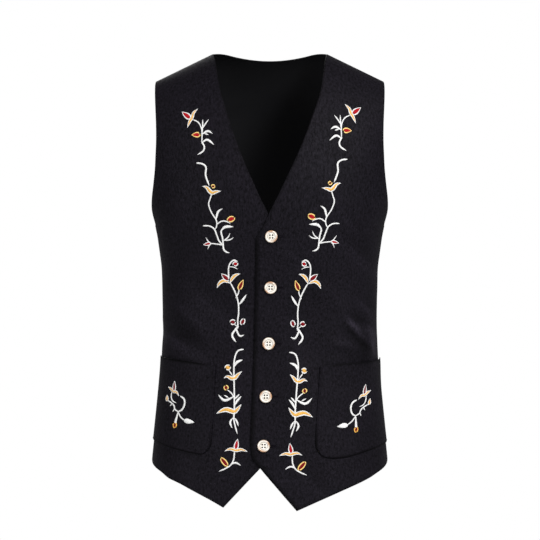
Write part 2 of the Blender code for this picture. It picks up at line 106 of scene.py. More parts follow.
# Soft folds of the fronts, a row for each: x, height, lean from upright in degrees, half_length,
# half_width, rise (a trough where it is negative)
FOLDS = (
    (120.0, -376.0, -38.0, 22.0, 4.6, 3.0),
    (127.0, -363.0, -68.0, 20.0, 8.0, -2.8),
    (138.0, -391.0, -2.0, 28.0, 9.0, 5.2),
    (106.0, -396.0, -76.0, 20.0, 7.0, 1.6),
    (-127.0, -386.0, -62.0, 36.0, 12.0, -3.4),
    (-116.0, -358.0, -50.0, 32.0, 10.0, 1.4),
    (-84.0, -330.0, -48.0, 56.0, 17.0, -1.5),
    (92.0, -330.0, -36.0, 62.0, 17.0, 1.2),
    (-60.0, -300.0, 46.0, 52.0, 13.0, -1.2),
    (64.0, -292.0, -48.0, 50.0, 13.0, -1.1),
    (-132.0, -262.0, 50.0, 40.0, 13.0, -1.6),
    (134.0, -268.0, -46.0, 38.0, 12.0, -1.6),
    (-96.0, -160.0, 20.0, 70.0, 18.0, -1.2),
    (98.0, -150.0, -16.0, 72.0, 18.0, -1.2),
    (-60.0, -480.0, 14.0, 70.0, 20.0, 1.2),
    (48.0, -470.0, -16.0, 66.0, 18.0, 1.1),
)

# Soft folds of the back, in the same columns
BACK_FOLDS = (
    (-70.0, -345.0, 62.0, 58.0, 15.0, -2.4),
    (74.0, -352.0, -66.0, 54.0, 14.0, -2.2),
    (-88.0, -378.0, 70.0, 52.0, 13.0, 2.0),
    (86.0, -384.0, -62.0, 56.0, 15.0, 2.1),
    (-112.0, -250.0, 38.0, 56.0, 15.0, -2.0),
    (116.0, -242.0, -42.0, 52.0, 14.0, -2.0),
    (-30.0, -470.0, 8.0, 70.0, 18.0, 1.6),
    (36.0, -455.0, -12.0, 62.0, 16.0, -1.6),
    (4.0, -130.0, 4.0, 80.0, 32.0, -1.2),
)

# Finer creases of the fronts and of the back, in the same columns again
CREASES = (
    (117.0, -366.0, -40.0, 13.0, 3.2, 0.8),
    (138.0, -394.0, -30.0, 14.0, 3.4, 0.8),
    (143.0, -346.0, -40.0, 20.0, 6.0, -0.9),
    (139.0, -346.0, -60.0, 18.0, 5.5, 0.6),
    (-137.0, -372.0, 60.0, 22.0, 5.5, -0.8),
    (-141.0, -352.0, 66.0, 18.0, 5.0, 0.6),
    (-108.0, -362.0, 50.0, 30.0, 6.0, 0.5),
    (26.0, -268.0, -62.0, 24.0, 6.0, 0.5),
    (34.0, -352.0, -80.0, 26.0, 7.0, -0.45),
    (28.0, -430.0, 82.0, 24.0, 6.5, 0.45),
    (-26.0, -276.0, 66.0, 22.0, 6.0, -0.45),
    (-24.0, -420.0, -78.0, 24.0, 7.0, 0.4),
    (118.0, -222.0, -34.0, 26.0, 6.5, -0.6),
    (-116.0, -216.0, 38.0, 24.0, 6.0, -0.6),
    (126.0, -60.0, -64.0, 30.0, 8.0, -0.5),
    (-124.0, -64.0, 60.0, 28.0, 8.0, -0.5),
    (6.0, -590.0, 30.0, 26.0, 8.0, 0.5),
    (64.0, -590.0, -52.0, 32.0, 8.0, -0.5),
    (-84.0, -584.0, 48.0, 30.0, 8.0, -0.5),
)
BACK_CREASES = (
    (-118.0, -360.0, 66.0, 30.0, 6.5, -1.1),
    (-52.0, -362.0, 70.0, 34.0, 6.0, 0.9),
    (60.0, -370.0, -70.0, 32.0, 6.0, 0.9),
    (122.0, -372.0, -58.0, 30.0, 7.0, -1.2),
    (-20.0, -330.0, 84.0, 36.0, 7.5, -0.8),
    (-128.0, -300.0, 48.0, 26.0, 6.5, 0.8),
    (130.0, -296.0, -50.0, 28.0, 6.0, 0.8),
    (-92.0, -206.0, 30.0, 34.0, 7.5, -0.9),
    (96.0, -198.0, -34.0, 32.0, 7.0, -0.8),
    (-44.0, -50.0, 72.0, 36.0, 9.0, -0.7),
    (50.0, -46.0, -74.0, 34.0, 9.0, -0.7),
    (-76.0, -520.0, 14.0, 40.0, 8.0, 0.9),
    (92.0, -510.0, -10.0, 42.0, 9.0, 0.8),
    (14.0, -520.0, 6.0, 44.0, 9.0, -0.8),
)
# The fronts' folds give way to the back's over this far to each side of the side seams
SIDE_BLEND = 18.0

# The fronts, outlined as seen from straight ahead: x and height of each point
LEFT_FRONT = {
    "neckline": (
        (-20.0, -242.0), (-1.8, -208.5), (16.7, -171.2),
        (44.4, -111.5), (66.5, -51.9), (75.0, -17.8),
    ),
    "front_edge": ((-27.6, -533.0), (-20.0, -242.0)),
    "cutaway": ((38.2, -629.7), (12.0, -599.5), (-14.5, -568.2), (-24.6, -555.0), (-27.6, -533.0)),
    "hem": ((38.2, -629.7), (74.7, -613.6), (110.0, -598.0), (142.0, -582.8), (157.5, -572.5)),
    "side_corner": -555.0,
}
RIGHT_FRONT = {
    "neckline": (
        (17.0, -242.0), (-1.8, -208.5), (-19.9, -171.2),
        (-45.2, -111.5), (-64.8, -51.9), (-73.4, -17.8),
    ),
    "front_edge": ((11.4, -530.0), (17.0, -242.0)),
    "cutaway": ((-66.2, -624.8), (-40.0, -597.0), (-13.2, -568.7), (5.0, -550.0), (11.4, -530.0)),
    "hem": ((-66.2, -624.8), (-90.2, -611.2), (-125.4, -592.4), (-144.5, -583.0), (-157.5, -572.5)),
    "side_corner": -556.0,
}

# Armhole edges seen from the front, from the underarm up to the shoulder tip: x, height
FRONT_ARMHOLE = ((168.2, -200.0), (165.6, -163.0), (163.0, -128.0), (162.4, -76.0))
BACK_ARMHOLE = ((164.5, -196.0), (157.5, -155.0), (155.5, -105.0), (158.0, -58.0))
# The armhole's round foot, this far to each side of the side seam: turn in degrees, climb
ARMHOLE_FOOT = (10.0, 3.0)

# Back hem, from the side seam to the centre: x, height
BACK_HEM = ((150.0, -560.0), (100.0, -564.0), (50.0, -566.0), (0.0, -566.5))

# Patch pockets, seen from the front: corners at the top, and the points of the rounded lower edge
LEFT_POCKET = {
    "top": ((71.3, -423.6), (115.0, -419.5), (150.0, -415.5)),
    "top_at_seam": -412.0,
    "inner": ((71.3, -423.6), (67.5, -478.0), (64.5, -530.0), (67.5, -544.0), (72.5, -550.0)),
    "bottom": ((72.5, -550.0), (82.6, -554.5), (106.8, -553.8), (140.0, -544.0), (158.0, -537.0)),
    "bottom_at_seam": -530.0,
}
RIGHT_POCKET = {
    "top": ((-76.7, -423.6), (-115.0, -417.5), (-146.0, -412.0)),
    "top_at_seam": -409.0,
    "inner": ((-76.7, -423.6), (-79.5, -478.0), (-82.3, -529.0), (-86.5, -542.0), (-93.0, -547.5)),
    "bottom": ((-93.0, -547.5), (-101.0, -549.0), (-130.0, -543.0), (-150.0, -536.5), (-160.0, -532.0)),
    "bottom_at_seam": -527.0,
}

# The pockets' mouths stand off by the gape at this height, easing to nothing below it. The right one
# also eases to nothing over this many degrees before its side seam
POCKET_MOUTH = -415.0
MOUTH_EASE = 45.0
MOUTH_GAPE = 1.5
SEAM_EASE = 22.0

# The left front lies over the right one: it is lifted by a layer as far as this past the under edge
OVERLAP_REACH = 8.0
OVERLAP_EASE = 52.0

# Squares of the cloth's fine grid: columns across a piece, and rows below and above the underarm line
FRONT_GRID = (64, 125, 80)
BACK_GRID = (104, 120, 84)
POCKET_GRID = (64, 60)
# Columns of the back over each shoulder
SHOULDER_COLUMNS = 28
STEPS_PER_SPAN = 24
RIM_STEPS = 6
# How far the back's rows are eased to even steps, and over what share of its width from each side
ROW_EVENING = 0.5
ROW_EVENING_EASE = 0.2

# The cloth's maps: millimetres of cloth to a radian of turn, a short step up and towards the side that the
# key light comes from, and how much weaker the painted shade is on a fold's flank that faces away from it
# than the painted light on one facing it
GIRTH_RADIUS = 140.0
KEY_LIGHT_STEP = (1.17, 0.0, 0.93)
SHADED_FLANK_SHARE = 0.32

# How dark the painted shade along an edge is, from 0 to 1: any edge, and the painted shadow that the left
# front's own edge adds to it down from a height, growing over a distance
EDGE_SHADE = 0.35
OVERLAP_SHADOW = 0.5
OVERLAP_SHADOW_TOP = -234.0
OVERLAP_SHADOW_EASE = 14.0
# Painted shade along a pocket's sides and its mouth, each on the wearer's right and on the left, and the
# share of its width over which the mouth's grows from the inner corner
POCKET_SIDE_SHADE = (0.05, 0.2)
POCKET_MOUTH_SHADE = (1.0, 0.7)
MOUTH_SHADE_EASE = 0.2
# The painted shadow that a pocket's inner edge adds down from a height, growing over a distance
CORNER_SHADOW = 0.8
CORNER_SHADOW_TOP = -505.0
CORNER_SHADOW_EASE = 28.0
# How much of the painted shade the cloth's next row takes
NEXT_ROW_SHADE = 0.65

# Buttons down the overlap: x, height. Their turned profile, from the middle of the face to the middle
# of the back: radius, height
BUTTONS = ((2.1, -239.6), (1.1, -312.3), (-1.7, -392.1), (-5.7, -467.5), (-8.7, -537.5))
BUTTON_PROFILE = (
    (2.6, 1.75),
    (4.2, 1.78),
    (4.9, 1.85),
    (5.15, 1.7),
    (5.5, 1.75),
    (5.9, 2.3),
    (6.6, 2.75),
    (7.3, 2.92),
    (7.9, 2.85),
    (8.4, 2.5),
    (8.75, 2.0),
    (8.8, 1.6),
    (8.5, 1.0),
    (7.6, 0.5),
    (6.0, 0.1),
    (3.0, 0.0),
)
BUTTON_SIDES = 72
BUTTON_LIFT = 0.4
# Edges of a button that are sharper than this many degrees stay sharp
SHARP_ANGLE = 40.0
# How far each button is turned about its own middle, in degrees
BUTTON_TURNS = (20.0, 150.0, 255.0, 70.0, 310.0)
# Its four holes: radius, how far aside and up each is from the middle, sides, and the cut's two ends
HOLE_RADIUS = 1.2
HOLE_SPREAD = 1.95
HOLE_SIDES = 20
HOLE_CUT = (-1.0, 4.0)
# Each button's thread: the shank's radius, its ends just over the right front and inside the button, and
# in the holes its top and its share of their radius
SHANK_RADIUS = 1.1
SHANK_FOOT = -2.75
SHANK_TOP = 0.3
HOLE_THREAD_TOP = 1.1
HOLE_THREAD_SHARE = 0.95

# Buttonholes: from just past the shank towards the wearer's left, narrowing to the far end
SLIT_BEFORE = 1.9
SLIT_LENGTH = 19.0
SLIT_WIDE = 3.2
SLIT_NARROW = 0.4
# Where it has narrowed past the shank, its round end's corners as shares of the length before the shank
# and of half the wide part, and the cut's two ends
SLIT_CLOSED = 6.0
SLIT_ROUND = ((0.7, 1.0), (-0.5, 1.0), (-1.0, 0.6))
SLIT_CUT = (-6.0, 4.0)
# The stitches round it: where they begin past the shank, how far apart, how far off the slit they start
# and end, how far round its far end they fan in degrees and how many do, and how much they stand up
HOLE_STITCHES_FROM = 7.5
HOLE_STITCH_PITCH = 0.62
HOLE_STITCH_START = 0.15
HOLE_STITCH_END = 1.7
FAN_REACH = 75.0
FAN_STITCHES = 7
HOLE_STITCH_PUFF = 0.5
# Running stitches round a pocket: from the start of one to the start of the next, the parts of that, of
# which the gap is one, and how much they stand up
RUNNING_PITCH = 3.1
RUNNING_PARTS = 4
RUNNING_PUFF = 0.3

# Satin stitches: distance between threads, a thread's half width and half depth, how far the middle
# of a stitch stands up for each millimetre of its length and at most, and how far its ends sink in
STITCH_PITCH = 0.52
THREAD_HALF = 0.35
THREAD_DEPTH = 0.22
THREAD_BASE = 0.14
PUFF = 0.11
PUFF_MOST = 0.6
ENDS_SINK = 0.35
# Where along a stitch its rings lie, how wide and how puffed each one is, and the ring's corners:
# aside and up, in half widths and half depths
RING_PLACES = (0.0, 0.14, 0.5, 0.86, 1.0)
RING_WIDTHS = (0.7, 1.0, 1.0, 1.0, 0.7)
RING_PUFFS = (0.0, 0.5, 1.0, 0.5, 0.0)
RING = ((-1.0, -0.7), (-0.5, 0.8), (0.5, 0.8), (1.0, -0.7))
# How far stitches slant, how much of that they do beside a filling, and how unevenly they end
SLANT = 0.42
SPLIT_SLANT = 0.7
UNEVEN = 0.11
# A shape has at least this many stitches, and its middle line this many steps to each
LEAST_STITCHES = 5
LINE_STEPS = 6
# A two-coloured shape's edge: its greatest width, the greatest share of the shape's width it takes, its
# least width, and the share of the filling's half width where the edge's threads end
EDGE_WIDTH = 1.5
EDGE_SHARE = 0.24
EDGE_LEAST = 0.75
EDGE_MEETS = 0.9
# How much longer a calyx's plain tips are than its edge is wide, and the share of the length they may take
TIP_TIMES = 2.0
TIP_SHARE = 0.3
# The narrowest filling
FILL_LEAST = 0.25
# A stem's width as shares of its greatest: at its foot and at its tip, and the lengths that it would
# take from each to grow by its whole width
STEM_FOOT = 0.45
STEM_FOOT_EASE = 5.0
STEM_TIP = 0.25
STEM_TIP_EASE = 6.5
# A drop's width at its narrow end, and the powers that shape leaves and buds
DROP_START = 0.4
LEAF_POWER = 0.75
BUD_LEAN = 0.66
BUD_POWER = 0.78

# The sprigs of the wearer's right front: shape, edge thread, filling thread, width, and points along
# the middle of the shape, each the distance out from the sprigs' mirror line and the height
MIRROR_X = -1.85
SPRIGS = {
    "top": (
        ("bud", "white", "red", 8.8, ((110.4, -72.8), (123.0, -63.0))),
        ("calyx", "white", "gold", 4.8, (
            (100.4, -58.6), (106.4, -64.6), (108.6, -71.3), (111.8, -76.6), (115.2, -85.5),
        )),
        ("stem", "white", None, 1.8, (
            (107.0, -74.2), (100.1, -77.7), (96.1, -84.1), (94.5, -92.0), (94.6, -107.4),
        )),
        ("stem", "white", None, 2.5, ((95.0, -105.4), (91.2, -112.5), (93.0, -119.0), (100.6, -124.0))),
        ("stem", "white", None, 2.0, ((94.4, -92.4), (93.6, -84.0), (93.4, -74.2))),
        ("stem", "white", None, 1.9, ((93.6, -86.4), (90.0, -80.6), (85.0, -74.0))),
        ("bud", "yellow", "red", 8.2, ((96.6, -95.4), (109.2, -96.0))),
        ("leaf", "white", None, 3.2, ((94.6, -95.4), (86.4, -90.4), (79.4, -94.0))),
        ("leaf", "white", None, 1.9, ((91.0, -94.0), (85.2, -95.6))),
        ("leaf", "white", None, 3.3, ((95.4, -108.0), (87.0, -102.8), (77.2, -110.0))),
    ),
    "upper": (
        ("stem", "white", None, 2.6, (
            (102.2, -136.0), (94.6, -136.8), (88.8, -141.6), (89.2, -153.5), (84.0, -168.0),
        )),
        ("berry", "yellow", "wine", 6.2, ((81.5, -168.5), (75.5, -169.4))),
        ("calyx", "white", "gold", 6.2, (
            (93.9, -168.8), (87.6, -170.6), (83.2, -176.0), (79.6, -178.2), (75.0, -176.8),
            (67.2, -175.6),
        )),
        ("stem", "white", None, 1.9, (
            (80.6, -179.6), (82.8, -186.6), (84.9, -194.5), (81.2, -205.6), (74.3, -216.6),
            (73.4, -224.5), (76.2, -231.0),
        )),
        ("leaf", "white", None, 3.3, ((74.6, -217.6), (71.8, -205.4), (65.2, -200.4))),
        ("stem", "white", None, 1.9, ((73.6, -223.2), (66.2, -218.4), (59.1, -219.0), (54.2, -221.6))),
        ("berry", "yellow", "red", 8.8, ((58.6, -217.5), (47.8, -213.4))),
        ("stem", "white", None, 2.2, (
            (92.8, -225.0), (84.3, -225.2), (77.2, -229.4), (73.2, -238.7), (70.1, -246.6),
            (63.8, -253.0),
        )),
        ("stem", "white", None, 2.4, ((64.3, -251.6), (65.3, -241.9), (67.3, -233.9), (65.6, -228.4))),
        ("leaf", "white", None, 4.3, ((67.2, -232.6), (61.5, -226.6), (49.8, -226.2))),
        ("stem", "white", None, 1.9, ((64.0, -246.2), (57.6, -241.4), (54.8, -235.6))),
        ("stem", "white", None, 1.9, ((62.4, -245.6), (55.0, -244.9), (49.8, -241.4))),
        ("bud", "white", "red", 5.6, ((81.4, -249.6), (92.6, -252.0))),
        ("stem", "white", None, 1.6, ((81.6, -249.6), (85.6, -246.8), (89.0, -241.4))),
        ("stem", "white", None, 1.6, ((80.8, -250.4), (84.0, -253.0), (86.2, -258.2))),
        ("stem", "white", None, 1.8, ((82.4, -249.8), (77.4, -250.4), (70.9, -251.2), (63.8, -252.8))),
        ("stem", "white", None, 2.5, ((64.4, -248.6), (63.8, -257.6), (60.4, -261.8), (55.4, -263.2))),
    ),
    "middle": (
        ("stem", "white", None, 2.1, (
            (56.2, -300.4), (56.8, -286.6), (54.6, -278.4), (49.4, -273.8), (43.6, -275.4),
        )),
        ("berry", "white", "red", 7.6, ((50.8, -280.2), (43.2, -277.8))),
        ("stem", "white", None, 1.5, ((55.2, -283.2), (49.4, -283.6), (43.8, -286.4))),
        ("bud", "white", "wine", 8.2, ((56.4, -302.4), (67.1, -292.9))),
        ("calyx", "white", "gold", 5.4, ((72.9, -313.2), (69.6, -306.4), (63.0, -302.8), (54.6, -306.4))),
        ("calyx", "white", "gold", 5.2, ((54.9, -306.8), (51.6, -299.8), (47.0, -295.2), (40.2, -292.8))),
        ("stem", "white", None, 2.1, (
            (54.0, -306.0), (47.4, -319.0), (43.0, -334.0), (42.4, -348.0), (43.6, -359.0),
            (43.4, -370.6),
        )),
        ("bud", "yellow", "wine", 7.2, ((42.2, -315.8), (35.8, -301.4))),
        ("stem", "white", None, 1.7, ((41.8, -314.8), (42.8, -320.6), (46.8, -327.4))),
        ("leaf", "white", None, 3.5, ((42.4, -337.4), (37.4, -331.4), (31.4, -322.4))),
        ("berry", "white", "wine", 8.4, ((54.9, -361.4), (46.4, -361.8))),
        ("stem", "white", None, 1.6, ((48.4, -364.8), (43.2, -368.6))),
        ("berry", "white", "wine", 7.3, ((38.6, -365.6), (34.6, -356.4))),
        ("stem", "white", None, 3.0, ((42.4, -367.2), (48.2, -373.6), (51.6, -381.0), (46.2, -389.8))),
        ("stem", "white", None, 2.7, ((45.8, -370.6), (43.8, -376.6), (40.4, -381.4), (34.6, -379.6))),
    ),
    "lower": (
        ("stem", "white", None, 2.3, (
            (35.2, -400.0), (43.8, -402.8), (48.2, -414.0), (49.2, -430.0), (48.6, -459.0),
            (48.4, -490.0),
        )),
        ("stem", "white", None, 2.2, ((48.3, -487.0), (49.0, -501.0), (44.2, -519.8))),
        ("leaf", "white", None, 4.2, ((48.6, -425.6), (45.0, -418.6), (36.6, -415.0))),
        ("berry", "white", "gold", 8.6, ((62.0, -427.0), (53.6, -424.8))),
        ("stem", "white", None, 1.7, ((56.4, -429.4), (50.6, -438.4))),
        ("calyx", "white", "gold", 6.0, (
            (63.4, -441.0), (58.0, -438.8), (52.6, -441.2), (47.6, -440.6), (43.4, -436.0),
            (37.8, -431.2),
        )),
        ("berry", "yellow", "wine", 7.5, ((60.2, -458.3), (60.2, -450.9))),
        ("stem", "white", None, 1.8, ((58.2, -457.6), (51.8, -463.4), (48.2, -471.0))),
        ("leaf", "white", None, 3.9, ((48.6, -466.6), (62.0, -472.6), (71.4, -464.4))),
        ("leaf", "white", None, 2.0, ((56.4, -468.8), (63.0, -465.2))),
        ("leaf", "white", None, 2.6, ((48.2, -471.0), (41.2, -463.6))),
        ("leaf", "white", None, 3.5, ((47.8, -480.0), (44.2, -473.0), (38.4, -466.4))),
        ("calyx", "white", "gold", 7.6, (
            (73.8, -491.7), (68.6, -488.4), (61.0, -485.6), (54.0, -487.0), (49.0, -488.6),
            (44.6, -485.6), (38.6, -478.0),
        )),
        ("leaf", "white", None, 3.1, ((50.0, -496.6), (54.4, -503.6), (51.4, -512.0))),
        ("leaf", "white", None, 2.8, ((48.4, -497.0), (44.8, -502.6), (42.8, -509.0))),
    ),
    "foot": (
        ("bud", "white", "red", 7.4, ((46.9, -542.8), (43.8, -527.2))),
        ("calyx", "white", "gold", 5.2, (
            (62.4, -544.8), (54.7, -541.6), (46.0, -543.3), (38.1, -542.4), (29.6, -545.4),
        )),
        ("stem", "white", None, 2.1, (
            (48.3, -545.4), (49.4, -556.0), (53.6, -564.2), (61.0, -569.2), (70.4, -573.2),
        )),
        ("leaf", "white", None, 2.8, ((54.2, -563.8), (46.6, -561.0), (39.2, -565.0))),
        ("berry", "yellow", "wine", 7.6, ((57.6, -566.2), (67.6, -554.0))),
    ),
    "pocket": (
        ("bud", "white", "wine", 5.2, ((134.3, -460.2), (133.4, -445.0))),
        ("calyx", "white", "gold", 4.3, (
            (142.4, -453.6), (138.3, -456.6), (134.8, -460.2), (130.8, -461.0), (127.2, -466.4),
        )),
        ("stem", "white", None, 1.5, ((137.2, -460.6), (138.1, -467.1), (136.3, -473.2), (131.0, -476.4))),
        ("stem", "white", None, 2.5, (
            (125.2, -466.8), (120.4, -470.2), (119.0, -475.6), (120.3, -481.6), (123.9, -486.8),
            (129.3, -488.8),
        )),
        ("stem", "white", None, 1.9, (
            (128.1, -488.8), (133.0, -485.4), (133.9, -481.0), (136.6, -477.2), (143.4, -472.6),
        )),
        ("bud", "white", "gold", 4.3, ((144.0, -474.0), (143.9, -464.8))),
        ("leaf", "white", None, 1.5, ((137.2, -477.4), (139.6, -480.9))),
        ("leaf", "white", None, 1.5, ((133.4, -484.8), (136.1, -488.9))),
        ("stem", "white", None, 1.8, ((128.6, -488.6), (124.8, -496.2), (118.4, -502.0))),
        ("bud", "white", None, 7.4, ((119.8, -501.2), (105.4, -503.8))),
        ("drop", "white", None, 3.8, ((128.7, -490.0), (132.6, -505.0))),
        ("berry", "gold", "wine", 6.2, ((132.7, -503.7), (133.3, -511.9))),
    ),
}

# How the wearer's left front's sprigs stand apart from their mirror images: at the sprig's top and at
# its foot, the height there, and the shift out and up
LEFT_SHIFTS = {
    "top": ((-59.0, 8.0, 6.4), (-124.0, 9.6, 6.0)),
    "upper": ((-136.0, 9.6, 5.4), (-262.0, 7.0, 2.4)),
    "middle": ((-275.0, 3.8, 0.0), (-390.0, -3.8, -3.7)),
    "lower": ((-400.0, -5.6, -4.4), (-519.0, -12.7, -5.0)),
    "foot": ((-528.0, -13.7, -6.0), (-573.0, -16.0, -5.4)),
    "pocket": ((-446.0, 4.6, -4.6), (-511.0, -9.4, -6.4)),
}


def table_value(table, column, at):
    """A column of a table at any places, on a smooth curve through its rows."""
    keys = np.array([row[0] for row in table])
    values = np.array([row[column] for row in table])
    at = np.asarray(at, float)
    row = np.searchsorted(keys[1:-1], at)
    before, after = np.maximum(row - 1, 0), np.minimum(row + 2, len(keys) - 1)
    here, there = values[row], values[row + 1]
    span = keys[row + 1] - keys[row]
    share = np.clip((at - keys[row]) / span, 0.0, 1.0)
    slope_here = (there - values[before]) / (keys[row + 1] - keys[before]) * span
    slope_there = (values[after] - here) / (keys[after] - keys[row]) * span
    square, cube = share**2, share**3
    return (
        (2 * cube - 3 * square + 1) * here
        + (cube - 2 * square + share) * slope_here
        + (3 * square - 2 * cube) * there
        + (cube - square) * slope_there
    )


def eased(share):
    """0 to 1 with a soft start and end."""
    share = np.clip(share, 0.0, 1.0)
    return share * share * (3 - 2 * share)


def squared_circle(angle, power):
    """Sine and cosine of an angle, on a circle that bulges towards a square as the power grows."""
    sine, cosine = np.sin(angle), np.cos(angle)
    reach = (np.abs(sine) ** power + np.abs(cosine) ** power) ** (-1 / power)
    return sine * reach, cosine * reach


def ridge_height(x):
    """Height of the shoulder line over x: a straight slope outside the neck, easing over inside it."""
    past = np.maximum(np.abs(x) - NECK_HALF, -NECK_EASE)
    return NECK_HEIGHT - SHOULDER_SLOPE * past * np.where(past < 0, 1 + past / (2 * NECK_EASE), 1.0)


def seam_depth(x):
    """How far behind the origin the shoulder seam lies at x."""
    return SEAM_BACKSET * np.minimum((SHOULDER_TIP - np.abs(x)) / (SHOULDER_TIP - NECK_HALF), 1.0)


def body_points(turn, climb):
    """The plain form of the garment's outer face, without folds."""
    turn, climb = np.broadcast_arrays(np.asarray(turn, float), np.asarray(climb, float))
    side, ahead = squared_circle(turn, GIRTH_POWER)
    over = np.maximum(climb, 0.0) / CHEST_CLIMB * QUARTER
    rise, left = squared_circle(over, np.where(ahead > 0, CHEST_POWER, BLADE_POWER))
    below = climb <= 0
    height = UNDERARM + np.minimum(climb, 0.0)
    half = np.where(below, table_value(BODY, 1, height), table_value(CHEST, 1, rise))
    front = np.where(below, table_value(BODY, 2, height), table_value(CHEST, 2, rise))
    behind = np.where(below, table_value(BODY, 3, height), table_value(CHEST, 3, rise))
    x = half * side
    y = seam_depth(x) * rise**2 - np.where(ahead > 0, front, behind) * ahead * left
    z = np.where(below, height, UNDERARM + rise * (ridge_height(x) - UNDERARM))
    return np.stack((x, y, z), axis=-1)


def outward(turn, climb):
    """The direction that faces away from the body there."""
    across = body_points(turn + TURN_STEP, climb) - body_points(turn - TURN_STEP, climb)
    up = body_points(turn, climb + CLIMB_STEP) - body_points(turn, climb - CLIMB_STEP)
    normal = np.cross(across, up)
    return normal / np.linalg.norm(normal, axis=-1, keepdims=True)


def fold_rise(points):
    """How far folds and creases lift the cloth at points of the plain form."""
    front_share = eased((SIDE_BLEND - points[..., 1]) / (2 * SIDE_BLEND))
    total = np.zeros(points.shape[:-1])
    for folds, share in ((FOLDS + CREASES, front_share), (BACK_FOLDS + BACK_CREASES, 1 - front_share)):
        for x, height, lean, half_length, half_width, rise in folds:
            angle = math.radians(lean)
            right, up = points[..., 0] - x, points[..., 2] - height
            along = (right * math.sin(angle) + up * math.cos(angle)) / half_length
            aside = (right * math.cos(angle) - up * math.sin(angle)) / half_width
            total += share * rise * np.exp(-(along**2) - aside**2)
    return total


def cloth_points(turn, climb, off=0.0):
    """Points of the cloth, moved out by a layer where one lies on another."""
    plain = body_points(turn, climb)
    return plain + outward(turn, climb) * (fold_rise(plain) + off)[..., None]


def from_front(x, height, behind=False):
    """Turn and climb of the points that show at x and height when seen from the front, or from behind."""
    x, height = np.asarray(x, float), np.asarray(height, float)
    rise = np.clip((height - UNDERARM) / (ridge_height(x) - UNDERARM), 0.0, 1.0)
    power = BLADE_POWER if behind else CHEST_POWER
    left = (1 - rise**power) ** (1 / power)
    below = height <= UNDERARM
    climb = np.where(below, height - UNDERARM, CHEST_CLIMB * np.arctan2(rise, left) / QUARTER)
    half = np.where(below, table_value(BODY, 1, height), table_value(CHEST, 1, rise))
    side = np.minimum(np.abs(x) / half, 1.0)
    turn = np.arctan2(side, (1 - side**GIRTH_POWER) ** (1 / GIRTH_POWER))
    return np.copysign(math.pi - turn if behind else turn, x), climb


def seam_turn(side, height, behind=False):
    """Turn of a side seam's edge, half a gap short of the side."""
    short = SEAM_GAP / 2 / table_value(BODY, 3 if behind else 2, height)
    return side * (QUARTER + short if behind else QUARTER - short)


def shoulder_place(x, behind=False):
    """Turn and climb of a shoulder seam's edge at x, half a gap short of the ridge."""
    turn, _ = from_front(x, ridge_height(x), behind)
    _, ahead = squared_circle(turn, GIRTH_POWER)
    depth = table_value(CHEST, 3 if behind else 2, 1.0) * np.abs(ahead)
    return turn, CHEST_CLIMB * (1 - SEAM_GAP / 2 / depth / QUARTER)


def unwrapped(turn):
    """A turn counted on past the centre back, so that the back runs on from one side to the other."""
    return np.where(turn > 0, turn, turn + 2 * math.pi)


def overlap_lift(turn, climb):
    """How far the left front is lifted over the right one."""
    point = body_points(turn, climb)
    (low_x, low_height), (high_x, high_height) = RIGHT_FRONT["front_edge"]
    share = np.clip((point[..., 2] - low_height) / (high_height - low_height), 0.0, 1.0)
    past = point[..., 0] - (low_x + (high_x - low_x) * share) - OVERLAP_REACH
    return (FRONT_WALL + LAYER_GAP) * (1 - eased(past / OVERLAP_EASE))


def no_lift(turn, climb):
    """The right front and the back lie on the body itself."""
    return np.zeros(np.shape(climb))


def pocket_lift(turn, climb):
    """A pocket lies on its front, a gap and a wall out from it, and its mouth stands off a little more."""
    under = np.where(np.asarray(turn) > 0, overlap_lift(turn, climb), 0.0)
    mouth = (UNDERARM + climb - POCKET_MOUTH) / MOUTH_EASE + 1
    beside = np.where(turn > 0, 1.0, eased((QUARTER + turn) / math.radians(SEAM_EASE)))
    return under + POCKET_GAP + POCKET_WALL + MOUTH_GAPE * eased(mouth) * beside


def smooth_line(rows):
    """Many rows on a smooth curve through a few."""
    rows = np.array(rows, float)
    spans = np.vstack((rows[:1], rows, rows[-1:]))
    t = np.arange(STEPS_PER_SPAN)[:, None] / STEPS_PER_SPAN
    parts = [
        (-t + 2 * t**2 - t**3) / 2 * before
        + (2 - 5 * t**2 + 3 * t**3) / 2 * here
        + (t + 4 * t**2 - 3 * t**3) / 2 * there
        + (t**3 - t**2) / 2 * after
        for before, here, there, after in zip(spans, spans[1:], spans[2:], spans[3:])
    ]
    return np.vstack(parts + [rows[-1:]])


def even_steps(line, points, count):
    """count + 1 rows of a line, an even distance apart along its points."""
    steps = np.linalg.norm(np.diff(points, axis=0), axis=1)
    run = np.concatenate(([0.0], np.cumsum(steps)))
    goals = np.linspace(0.0, run[-1], count + 1)
    return np.column_stack([np.interp(goals, run, column) for column in line.T])


def spaced(places, count):
    """count + 1 of the line's places, an even distance apart over the cloth."""
    places = np.asarray(places, float)
    return even_steps(places, body_points(places[:, 0], places[:, 1]), count)


def seen(points, behind=False):
    """Places of outline points given as they are seen from the front or from behind."""
    rows = np.array(points, float)
    turn, climb = from_front(rows[:, 0], rows[:, 1], behind)
    return np.column_stack((unwrapped(turn) if behind else turn, climb))


def patch(inner, outer, lower, upper):
    """Places all over a four-sided piece of cloth, from its four edges: rows of columns, lower row first."""
    v = np.linspace(0.0, 1.0, len(inner))[:, None, None]
    u = np.linspace(0.0, 1.0, len(lower))[None, :, None]
    return (
        (1 - u) * inner[:, None]
        + u * outer[:, None]
        + (1 - v) * lower[None]
        + v * upper[None]
        - (1 - u) * (1 - v) * inner[0]
        - u * (1 - v) * outer[0]
        - (1 - u) * v * inner[-1]
        - u * v * outer[-1]
    )


def evened(places):
    """The same places, with rows eased to even steps away from the sides, so that none doubles back."""
    across = np.linspace(0.0, 1.0, places.shape[1])
    share = ROW_EVENING * eased(np.minimum(across, 1 - across) / ROW_EVENING_EASE)
    even = np.linspace(places[0, :, 1], places[-1, :, 1], len(places))
    climb = (1 - share) * places[..., 1] + share * even
    return np.stack((places[..., 0], climb), axis=-1)


